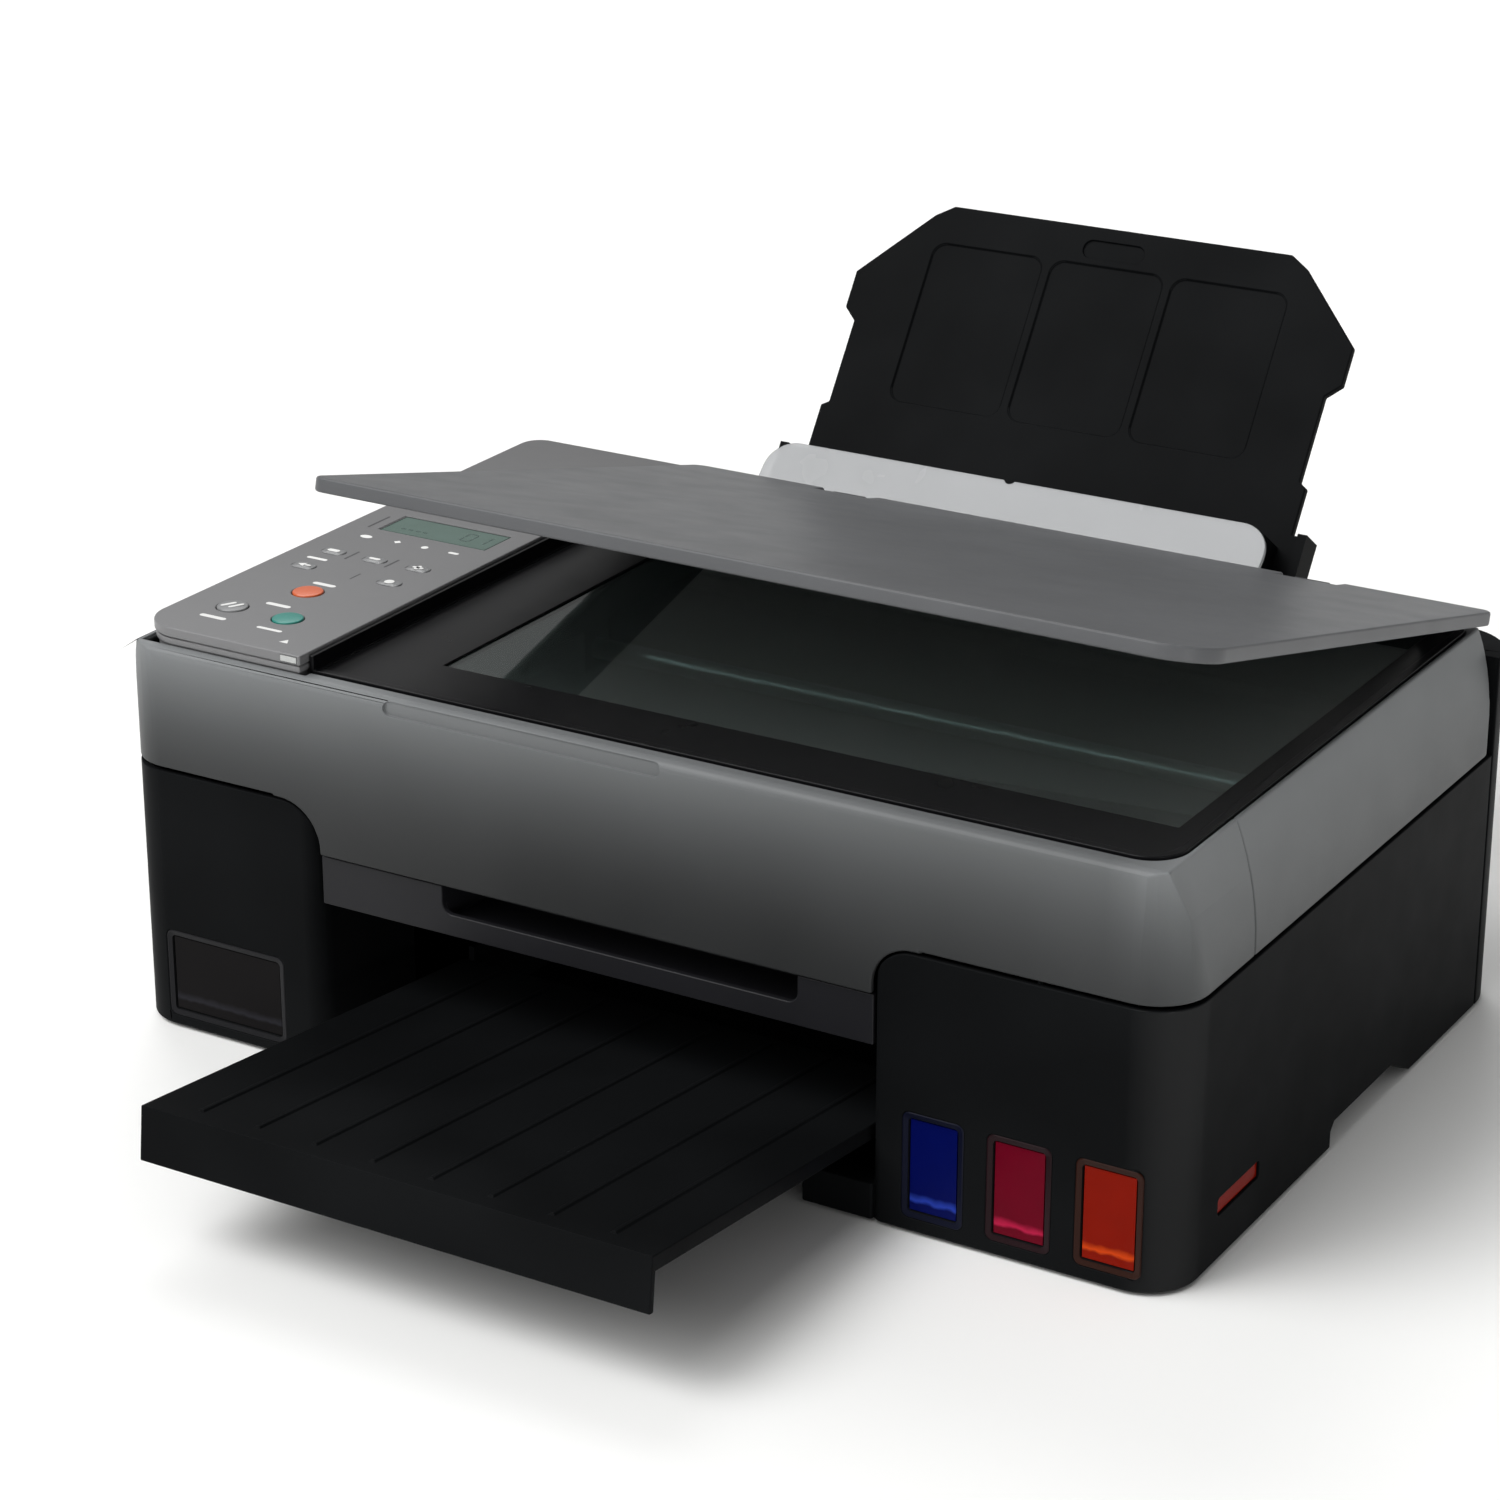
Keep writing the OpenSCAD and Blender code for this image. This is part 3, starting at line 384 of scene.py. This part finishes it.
# %% Platen glass
def clear(name, colour, rough, pass_through, haze):
    """Tinted glass: light passes by Transmission, with a slow haze in the roughness."""
    f = Finish(name, Transmission_Weight=pass_through, IOR=1.46)
    c = linear(colour)
    f.set("Base Color", f.mix(f.noise(0.05, 1.0), c, tuple(v * 0.93 for v in c[:3]) + (1.0,)))
    f.set("Roughness", rough + f.noise(0.02, 2.0) * haze)
    f.set("Normal", f.bump(f.noise(0.03, 1.0), 0.00002))
    return f.material


finish["platen_glass"] = clear("platen_glass", "#a9bab6", 0.02, 0.95, 0.03)
print("platen glass:", len(finish["platen_glass"].node_tree.nodes), "nodes")


# %% Smoke-tinted cover
def smoked(name, colour, see_through):
    """Smoke-tinted sheet: Alpha lets part of the light through, over a faintly hazy body."""
    f = Finish(name, Specular_IOR_Level=0.4, Coat_Weight=0.2, Coat_Roughness=0.1)
    c = linear(colour)
    f.set("Base Color", f.mix(f.noise(0.04, 1.0), c, tuple(v * 0.9 for v in c[:3]) + (1.0,)))
    f.set("Roughness", 0.22 + f.noise(0.02, 2.0) * 0.08)
    f.set("Alpha", 1 - see_through + f.noise(0.05, 1.0) * 0.04)
    return f.material


finish["smoke_clear"] = smoked("smoke_clear", "#9a9c9e", 0.28)
print("smoked cover lets through", 0.28)


# %% Display field
def crystal(name):
    """Display field: pale green, lit a little from within, with faint upright lines."""
    f = Finish(name, Coat_Weight=0.35, Coat_Roughness=0.08)
    rows = f.node("TexWave", {"bands_direction": "X"}, {"Vector": f.place(), "Scale": 300.0}, out=1)
    tone = f.mix(f.noise(0.01, 1.0), linear("#40594f"), linear("#4c665e"))
    f.set("Base Color", f.mix(rows * 0.12, tone, linear("#32483f")))
    f.set("Emission Color", tone)
    f.set("Emission Strength", 0.04)
    f.set("Roughness", 0.2 + f.noise(0.01, 1.0) * 0.05)
    return f.material


finish["display"] = crystal("display")
print("display:", len(finish["display"].node_tree.nodes), "nodes")

# %% [markdown]
# ## Circuit board
# The board is out of sight until the scanner unit is lifted. Green lacquer lies over copper
# tracks: a brick pattern of thin lines stands for the tracks. The parts soldered on it are dark
# plastic, and the data socket at its rear edge is bare metal. Board, parts and socket are one
# solid, so one finish tells them apart by where they are.

# %% Board finish
def lacquered_board(name, low, high):
    """Green lacquer, lighter along a grid of tracks 0.4 mm wide, up to the board's upper face,
    10.1 mm over its feet. Above it dark plastic, and metal within 22 mm of the rear edge."""
    f = Finish(name, Coat_Roughness=0.2)
    tracks = f.node("TexBrick", {"offset": 0.37}, {
        "Vector": f.place(), "Scale": 120.0, "Mortar Size": 0.05, "Mortar Smooth": 0.1,
        "Color1": (1, 1, 1, 1), "Color2": (1, 1, 1, 1), "Mortar": (0, 0, 0, 1)}, out=1)
    parts_on = f.maths("GREATER_THAN", f.axis("Z"), low[2] + 0.01015)
    socket = f.maths("GREATER_THAN", f.axis("Y"), high[1] - 0.0221)
    lacquer = f.mix(tracks * 0.6, linear("#1f5a38"), linear("#4f8a4c"))
    shade = f.noise(0.01, 2.0)
    plastic = f.mix(shade, linear("#17181a"), linear("#2b2d30"))
    tin = f.mix(shade, linear("#a9adb2"), linear("#c4c8cc"))
    f.set("Base Color", f.mix(socket, f.mix(parts_on, lacquer, plastic), tin))
    f.set("Metallic", socket)
    f.set("Coat Weight", (1 - parts_on) * 0.4)
    f.set("Roughness", 0.3 + f.noise(0.004, 2.0) * 0.15)
    f.set("Normal", f.bump(tracks * (1 - parts_on), 0.00003))
    return f.material


finish["board_green"] = lacquered_board("board_green", *box_of("main_board"))
print("board:", len(finish["board_green"].node_tree.nodes), "nodes")

# %% [markdown]
# Now every part gets the finish that its slot in the record names. The meshes stay untouched.

# %% A finish on every part
slot_of_part = {row["node"]: row["material_slot"] for row in frame["record"]["subparts"]}
missing = sorted(set(slot_of_part.values()) - set(finish))
for name, part in parts.items():
    part.data.materials.clear()
    part.data.materials.append(finish[slot_of_part[name]])
print("slots without a finish:", missing)

# %% [markdown]
# ## Soft edges on the moulded parts
# No moulding has a knife edge: each outer edge is round by a few tenths of a millimetre and
# catches a thin line of light. The CAD parts have sharp edges, and their meshes are loose
# triangles, so a copy of each is merged, its flat faces are joined again, and a Bevel
# modifier rounds the edges that are sharp and belong to a large enough loop. A Bevel node in the
# finish would only paint the rounding; this way it is in the mesh and shows on the outline.
# Weighted normals then let each large face stay flat and leave the turning to the rounding.

# %% Softened copies
def softened(name, width, smallest=0.004):
    """A merged copy of a CAD part with its sharp edges rounded by width metres.
    An edge's weight is the extent of the sharp loop it is in over 20 widths, at most 1. A loop
    whose second longest side is under smallest, such as a screw hole's, stays sharp."""
    mesh = bmesh.new()
    mesh.from_mesh(parts[name].data)
    bmesh.ops.remove_doubles(mesh, verts=mesh.verts, dist=2e-6)
    bmesh.ops.dissolve_limit(mesh, angle_limit=math.radians(0.3), verts=mesh.verts, edges=mesh.edges)
    mesh.edges.ensure_lookup_table()
    layer = mesh.edges.layers.float.new("bevel_weight_edge")
    sharp = {e for e in mesh.edges
             if len(e.link_faces) == 2 and e.calc_face_angle(0.0) > math.radians(32)}
    while sharp:
        loop, front = set(), [sharp.pop()]
        while front:
            edge = front.pop()
            loop.add(edge)
            for v in edge.verts:
                near = [e for e in v.link_edges if e in sharp]
                sharp.difference_update(near)
                front.extend(near)
        spots = np.array([v.co for e in loop for v in e.verts])
        extent = float(np.sort(spots.max(0) - spots.min(0))[1])
        weight = 0.0 if extent < smallest else min(1.0, extent / (20 * width))
        for edge in loop:
            edge[layer] = weight
            edge.smooth = weight > 0
    data = bpy.data.meshes.new(name + "_moulding")
    mesh.to_mesh(data)
    mesh.free()
    piece = bpy.data.objects.new(name + "_moulding", data)
    bpy.context.scene.collection.objects.link(piece)
    data.materials.append(finish[slot_of_part[name]])
    for face in data.polygons:
        face.use_smooth = True
    bevel = piece.modifiers.new("round", "BEVEL")
    bevel.limit_method = "WEIGHT"
    bevel.width, bevel.segments, bevel.use_clamp_overlap = width, 2, False
    even = piece.modifiers.new("even", "WEIGHTED_NORMAL")
    even.keep_sharp = True
    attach(piece, body_of_part[name])
    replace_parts(piece, name)
    return piece


print("sharp means a turn of over 32 degrees")

# %% Parts to soften
softened_parts = {
    "document_cover": 0.0009, "scanner_case": 0.0007, "control_panel": 0.0006,
    "output_tray": 0.0005, "left_side_cover": 0.0006, "right_side_cover": 0.0006,
    "rear_housing": 0.0005, "paper_support": 0.0006, "front_chin": 0.0005,
    "platen_frame": 0.0004, "feed_slot_cover": 0.0004, "print_carriage": 0.0005,
    "cap_unit": 0.0005, "maintenance_cartridge": 0.0006, "cover_pad": 0.0012,
}
mouldings = {name: softened(name, width) for name, width in softened_parts.items()}
print({n: len(p.data.polygons) for n, p in mouldings.items()})

# %% [markdown]
# ## Key caps
# The keys are caps with a slightly domed top and a round rim. A Bevel on the CAD key would round
# the rim but leave the top flat, so each cap is a new surface. The round ones are a profile
# turned about an upright axis; the menu keys are the same idea on a rounded rectangle. Both are
# one function of two parameters: how far out along the profile, how far round the outline.

# %% A piece from arrays
def mesh_piece(name, points, faces, material, body):
    """A closed surface from arrays of points and faces, riding on a body."""
    data = bpy.data.meshes.new(name)
    data.from_pydata(points.tolist(), [], faces)
    data.validate()
    piece = bpy.data.objects.new(name, data)
    bpy.context.scene.collection.objects.link(piece)
    data.materials.append(material)
    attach(piece, body)
    return piece


print("pieces so far:", len(mouldings))


# %% A profile carried round an outline
def lathe(outline, profile, centre):
    """Points centre + (s x outline, z) for each (s, z) of the profile; outline is a loop of unit
    directions times their reach, so s = 1 is the rim. A pole closes each end."""
    n, k = len(outline), len(profile)
    s, z = profile[:, 0][:, None], profile[:, 1][:, None]
    x, y = outline[:, 0][None], outline[:, 1][None]
    grid = np.stack([s * x, s * y, z + 0 * x], -1)
    points = np.concatenate([grid.reshape(-1, 3), [[0, 0, profile[0, 1]], [0, 0, profile[-1, 1]]]])
    i, j = np.meshgrid(np.arange(k - 1), np.arange(n), indexing="ij")
    jn = (j + 1) % n
    sides = np.stack([i * n + j, i * n + jn, (i + 1) * n + jn, (i + 1) * n + j], -1).reshape(-1, 4)
    ring = np.arange(n)
    turn_on = (ring + 1) % n
    low = np.stack([turn_on, ring, 0 * ring + n * k], -1)
    high = np.stack([(k - 1) * n + ring, (k - 1) * n + turn_on, 0 * ring + n * k + 1], -1)
    return points + np.array(centre), sides.tolist() + low.tolist() + high.tolist()


def capsule(half_x, half_y, corner, n=64):
    """Rounded rectangle: a superellipse of power 2 + 6 x (1 - corner), walked once round."""
    t = np.linspace(0, 2 * np.pi, n, endpoint=False)
    power = 2 / (2 + 6 * (1 - corner))
    x = half_x * np.sign(np.cos(t)) * np.abs(np.cos(t)) ** power
    y = half_y * np.sign(np.sin(t)) * np.abs(np.sin(t)) ** power
    return np.stack([x, y], -1)


print("points on an outline:", len(capsule(1, 1, 1.0)))


# %% Domed caps
def key_cap(part_name, corner, flange=0.0014):
    """Cap on the place of a CAD key, whose hidden flange stands 1.4 mm out: straight skirt,
    round rim and a dome 0.3 mm high."""
    low, high = box_of(part_name)
    middle = (low + high) / 2
    half = (high - low)[:2] / 2 - flange
    rim, crown = 0.0005, 0.0003
    shoulder, inner = high[2] - rim - crown, rim / half.min()
    walls = [[1, low[2] + 0.0018], [1, shoulder]]
    turns = np.linspace(0, np.pi / 2, 7)[1:]
    round_rim = [[1 - inner * (1 - math.cos(t)), shoulder + rim * math.sin(t)] for t in turns]
    dome = [[s * (1 - inner), high[2] - crown * s * s] for s in (0.85, 0.6, 0.35, 0.12)]
    outline = capsule(half[0], half[1], corner)
    points, faces = lathe(outline, np.array(walls + round_rim + dome), (middle[0], middle[1], 0))
    name = slot_of_part[part_name]
    cap = mesh_piece(part_name + "_cap", points, faces, finish[name], body_of_part[part_name])
    for face in cap.data.polygons:
        face.use_smooth = True
    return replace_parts(cap, part_name)


round_keys = ["stop_key", "colour_start_key", "black_start_key"]
menu_keys = ["menu_key_%d" % i for i in range(1, 6)]
caps = {n: key_cap(n, 1.0) for n in round_keys}
caps.update({n: key_cap(n, 0.35) for n in menu_keys})
print("caps:", {n: len(c.data.polygons) for n, c in caps.items()})

# %% [markdown]
# ## Printed marks
# Marks are pad-printed on the panel and the keys: a dot, a bar, a triangle, a plus sign. They
# could be a mask in the panel's finish, but each would need its own nodes. They are made as
# plates 0.03 mm thick from a flat outline, so they stay crisp from any distance. They say
# nothing in words.

# %% Paint and plates
paint = moulded("printed_white", "#e4e4e2", 0.5, depth=0.000004, tone=0.03)
# This dark paint serves for printed lines on the panel and also for the painted shade strip at the
# display's recess.
dark_print_and_shade = moulded("printed_and_painted_shade_dark", "#303032", 0.5, depth=0.000004, tone=0.05)


def plate(outline, low, high):
    """Prism over a flat loop of points, between two heights."""
    n = len(outline)
    points = np.concatenate([np.column_stack([outline, np.full(n, low)]),
                             np.column_stack([outline, np.full(n, high)])])
    i = np.arange(n)
    sides = np.stack([i, (i + 1) % n, (i + 1) % n + n, i + n], -1).tolist()
    return points, [i[::-1].tolist(), (i + n).tolist()] + sides


print("paints:", paint.name, dark_print_and_shade.name)


# %% Flat outlines
def bar(x, y, long, thick, angle=0.0):
    """Loop of a bar with rounded ends, turned by angle degrees about its middle."""
    t = np.linspace(-np.pi / 2, np.pi / 2, 7)
    r = thick / 2
    right = np.stack([long / 2 - r + r * np.cos(t), r * np.sin(t)], -1)
    loop = np.concatenate([right, -right])
    a = math.radians(angle)
    turned = loop @ np.array([[math.cos(a), math.sin(a)], [-math.sin(a), math.cos(a)]])
    return turned + [x, y]


def polygon(x, y, r, corners, start=90.0, squash=1.0):
    """Regular polygon loop of radius r with its first corner at angle start."""
    t = np.radians(start) + np.linspace(0, 2 * np.pi, corners, endpoint=False)
    return np.stack([x + r * np.cos(t), y + squash * r * np.sin(t)], -1)


print("points in a bar:", len(bar(0, 0, 0.01, 0.002)))


# %% One piece from several outlines
def marks(name, loops, top, material, body, thick=0.00003):
    """One piece from several flat loops, standing thick above the surface at top."""
    points, faces, count = [], [], 0
    for loop in loops:
        p, f = plate(np.array(loop), top - 0.00002, top + thick)
        points.append(p)
        faces += [[v + count for v in face] for face in f]
        count += len(p)
    return mesh_piece(name, np.concatenate(points), faces, material, body)


def spot(part_name):
    """Middle of a CAD part in plan."""
    low, high = box_of(part_name)
    return (low[:2] + high[:2]) / 2


print("panel top at", round(panel_high[2], 4), "stop key at", spot("stop_key").round(4).tolist())

# %% [markdown]
# A mark belongs to the key or window that it stands beside, so its place is given as an offset
# from that part's middle. If a key moves in the CAD model, its marks follow.

# %% Loops of the marks
def near(part_name, right, up, shape, *sizes):
    """A loop of the given shape, offset from the middle of a CAD part."""
    x, y = spot(part_name) + [right, up]
    return shape(x, y, *sizes)


white_loops = [
    near("stop_key", 0.0005, 0.0097, bar, 0.0105, 0.0024),
    near("colour_start_key", -0.0120, 0.0100, bar, 0.0112, 0.0024),
    near("colour_start_key", 0.0012, -0.0130, bar, 0.0115, 0.0018),
    near("black_start_key", 0.0008, -0.0130, bar, 0.0120, 0.0024),
    near("menu_key_1", -0.0007, 0.0095, bar, 0.0095, 0.0020),
    near("display_window", -0.0240, -0.0200, polygon, 0.0027, 24, 90, 0.62),
    near("display_window", -0.0094, -0.0192, polygon, 0.0016, 4),
    near("display_window", 0.0037, -0.0192, polygon, 0.0015, 24),
    near("display_window", 0.0174, -0.0191, bar, 0.0048, 0.0019),
    near("control_panel", 0.0239, -0.1235, polygon, 0.0022, 3),
]
dark_loops = [
    near("menu_key_3", -0.0110, 0.0, bar, 0.0100, 0.0009, 90),
    near("menu_key_3", 0.0081, 0.0, bar, 0.0100, 0.0009, 90),
    near("display_window", -0.0304, -0.0025, bar, 0.0150, 0.0010, 90),
    near("menu_key_3", 0.0048, -0.0195, bar, 0.0070, 0.0006, 90),
]
marks("panel_marks", white_loops, panel_high[2], paint, "scanner_unit")
marks("panel_lines", dark_loops, panel_high[2], dark_print_and_shade, "scanner_unit")
print("marks:", len(white_loops), "white,", len(dark_loops), "dark")

# %% [markdown]
# Each menu key has one small white sign in its middle, and the pale start key has two slanted
# bars. They ride with their keys, so they go down when a key is pressed.

# %% Signs on the keys
signs = {
    "menu_key_1": [polygon(-0.0006, 0, 0.0021, 3, 180), bar(0.0020, 0, 0.0026, 0.0012)],
    "menu_key_2": [bar(0, 0, 0.0056, 0.0024)],
    "menu_key_3": [bar(0, 0, 0.0052, 0.0017)],
    "menu_key_4": [bar(0, 0, 0.0050, 0.0015), bar(0, 0, 0.0044, 0.0015, 90)],
    "menu_key_5": [polygon(0, 0, 0.0020, 24)],
    "black_start_key": [bar(-0.0018, 0, 0.0066, 0.0016, 62), bar(0.0018, 0, 0.0066, 0.0016, 62)],
}
for name, loops in signs.items():
    placed = [loop + spot(name) for loop in loops]
    marks(name + "_sign", placed, box_of(name)[1][2], paint, body_of_part[name])
print("signs on", len(signs), "keys")

# %% [markdown]
# ## The display
# The field lies at the bottom of a shallow recess. A thin dark strip along its left and top edges
# is painted shade standing for the recess walls, and segments show the number of copies as two
# digits. A text object could show them too, but the seven bars that such a display really has
# are quicker to place and look right.

# %% Display recess shade and digits
lcd_low, lcd_high = box_of("display_window")
ink_dark = moulded("segment_dark", "#1d3a34", 0.4, depth=0.000004, tone=0.05)


def seven_bars(x, y, height, lit):
    """Loops of the lit bars of a digit: 0 top, 1 middle, 2 bottom, then the four uprights."""
    w, h = height * 0.5, height / 2
    level = [(0, h, w, 0), (0, 0, w, 0), (0, -h, w, 0)]
    upright = [(sx * w / 2, sy * h / 2, h, 90) for sy in (1, -1) for sx in (-1, 1)]
    chosen = [(level + upright)[i] for i in lit]
    return [bar(x + dx, y + dy, long * 0.86, height * 0.09, turn) for dx, dy, long, turn in chosen]


digit_height, tens_in, ones_in = 0.0085, 0.0135, 0.0065
level_in, level_step = 0.008, 0.0035
mid_y = (lcd_low[1] + lcd_high[1]) / 2
digits = seven_bars(lcd_high[0] - tens_in, mid_y, digit_height, [0, 2, 3, 4, 5, 6])
digits += seven_bars(lcd_high[0] - ones_in, mid_y, digit_height, [4, 6])
small = [bar(lcd_low[0] + level_in + level_step * i, mid_y - 0.004, 0.0022, 0.0011)
         for i in range(4)]
marks("display_digits", digits + small, lcd_high[2], ink_dark, "scanner_unit", 0.00002)
edge = 0.0007
(x0, y0), (x1, y1) = lcd_low[:2], lcd_high[:2]
# Painted shade: a dark strip 0.7 mm wide along the left and top edges of the field stands for the shaded
# recess walls.
recess_shade_loops = [
    [(x0, y1 - edge), (x1, y1 - edge), (x1, y1), (x0, y1)],
    [(x0, y0), (x0 + edge, y0), (x0 + edge, y1 - edge), (x0, y1 - edge)],
]
marks("display_recess_shade", recess_shade_loops, lcd_high[2], dark_print_and_shade, "scanner_unit", 0.00012)
print("display", (lcd_high - lcd_low).round(4).tolist())

# %% [markdown]
# ## Ink window bezels
# Around each ink window lies a shallow frame of the tank's own plastic, in a very dark shade of
# the ink. It could be cut from a block, but a bezel is simply a profile carried round a rounded
# rectangle: a ring between an inner and an outer loop, closed at the back.

# %% Bezel shape
def rounded_loop(x0, x1, z0, z1, r, n=8):
    """Loop of a rectangle with corner radius r, n points a corner, walked once round."""
    t = np.linspace(0, np.pi / 2, n)
    corners = [(x1 - r, z1 - r), (x0 + r, z1 - r), (x0 + r, z0 + r), (x1 - r, z0 + r)]
    turns = [t + quarter * np.pi / 2 for quarter in range(4)]
    return np.concatenate([np.stack([x + r * np.cos(a), z + r * np.sin(a)], -1)
                           for (x, z), a in zip(corners, turns)])


def bezel(name, window, colour, y_face):
    """Ring on the front: outer loop 2.4 mm out, inner loop at the window, sloping inwards.
    Each loop stands out from the window by out and lies behind the face by depth."""
    x0, x1, z0, z1 = window
    rings = []
    for out, depth in ((2.4, 0.78), (2.4, 0.3), (2.0, 0.1), (0.2, 0.5), (0.2, 0.78)):
        g = out / 1000
        loop = rounded_loop(x0 - g, x1 + g, z0 - g, z1 + g, 0.0015 + g * 0.6)
        rings.append(np.stack([loop[:, 0], np.full(len(loop), y_face + depth / 1000), loop[:, 1]], -1))
    n, k = len(rings[0]), len(rings)
    i, j = np.meshgrid(np.arange(k), np.arange(n), indexing="ij")
    ip, jn = (i + 1) % k, (j + 1) % n
    faces = np.stack([i * n + j, i * n + jn, ip * n + jn, ip * n + j], -1).reshape(-1, 4)
    material = moulded(name, colour, 0.35, depth=0.000006, tone=0.06, coat=0.06, shine=0.12)
    return mesh_piece(name, np.concatenate(rings), faces.tolist(), material, "lower_case")


print("points in a bezel's loop:", len(rounded_loop(0, 1, 0, 1, 0.1)))

# %% Bezels on the ink windows
# Each row: the tank behind the window, how far the window lies in from the tank's left side,
# its width, how far over the tank's base it starts and ends, and the bezel's colour.
windows = {
    "cyan_bezel": ("cyan_ink_tank", 0.0015, 0.0192, 0.0035, 0.0395, "#070a1c"),
    "magenta_bezel": ("magenta_ink_tank", 0.0015, 0.0200, 0.0035, 0.0395, "#1a070c"),
    "yellow_bezel": ("yellow_ink_tank", 0.0015, 0.0205, 0.0035, 0.0395, "#260d04"),
    "black_bezel": ("black_ink_tank", 0.0020, 0.0510, 0.0025, 0.0335, "#121215"),
}
for name, (tank, inset, width, starts, ends, colour) in windows.items():
    x0, z0 = box_of(tank)[0][[0, 2]]
    bezel(name, (x0 + inset, x0 + inset + width, z0 + starts, z0 + ends), colour, side_low[1])
print("bezels:", list(windows))

# %% [markdown]
# ## Floor and light
# The printer stands on a wide pale floor, and the world behind it is as pale, so no horizon
# shows. Three lamps of the sun kind, made soft by a wide angle, light the floor evenly to the
# horizon: an even light and a key light from the upper left and one from behind. A small low
# lamp draws a line of light down the round front corner. The world fills the shadows. It is
# dimmer to everything but the camera, as a dark studio is, so that black plastic stays black.

# %% Floor
def flat_grid(side, n=9):
    """Square grid of points on the plane z = 0, n points to a side, with its four-sided faces."""
    u = np.linspace(-side / 2, side / 2, n)
    x, y = np.meshgrid(u, u, indexing="ij")
    i, j = np.meshgrid(np.arange(n - 1), np.arange(n - 1), indexing="ij")
    at = (i * n + j).ravel()
    points = np.stack([x, y, 0 * x], -1).reshape(-1, 3)
    return points, np.stack([at, at + n, at + n + 1, at + 1], -1).tolist()


points, faces = flat_grid(14.0)
floor_mesh = bpy.data.meshes.new("floor")
floor_mesh.from_pydata(points.tolist(), [], faces)
floor = bpy.data.objects.new("floor", floor_mesh)
bpy.context.scene.collection.objects.link(floor)
paper = Finish("floor_paper", Roughness=0.8)
paper.set("Base Color", paper.mix(paper.noise(0.8, 1.0), linear("#f2f2f0"), linear("#f6f6f5")))
floor_mesh.materials.append(paper.material)
print("floor faces up:", floor_mesh.polygons[0].normal.z > 0)

# %% Lights and world
def add_lamp(name, kind, place, target, **values):
    """Lamp at place that shines towards target: turned by the angles of the line between them."""
    lamp = bpy.data.lights.new(name, kind)
    for key, value in values.items():
        setattr(lamp, key, value)
    holder = bpy.data.objects.new(name, lamp)
    bpy.context.scene.collection.objects.link(holder)
    x, y, z = np.array(target) - np.array(place)
    holder.location = place
    holder.rotation_euler = (math.atan2(math.hypot(x, y), -z), 0, math.atan2(-x, y))


middle = (0, 0, 0.1)
add_lamp("even_light", "SUN", (-0.8, -1.7, 2.1), middle, energy=1.8, angle=math.radians(50))
add_lamp("key_light", "SUN", (-1.1, -0.9, 2.1), middle, energy=1.2, angle=math.radians(34))
add_lamp("top_light", "SUN", (-0.9, 1.1, 1.7), middle, energy=0.75, angle=math.radians(28))
add_lamp("corner_light", "AREA", (2.1, -1.3, 0.22), (0.2, -0.15, 0.1),
         shape="SQUARE", size=0.3, energy=6.0)
world = bpy.data.worlds.new("studio")
world.use_nodes = True
sky = world.node_tree
ground = sky.nodes["Background"]
ground.inputs["Color"].default_value = (1, 1, 1, 1)
seen = sky.nodes.new("ShaderNodeLightPath")
level = sky.nodes.new("ShaderNodeMapRange")
level.inputs["To Min"].default_value, level.inputs["To Max"].default_value = 0.32, 1.1
sky.links.new(seen.outputs["Is Camera Ray"], level.inputs["Value"])
sky.links.new(level.outputs[0], ground.inputs["Strength"])
bpy.context.scene.world = world
bpy.context.scene.view_settings.view_transform = "Standard"
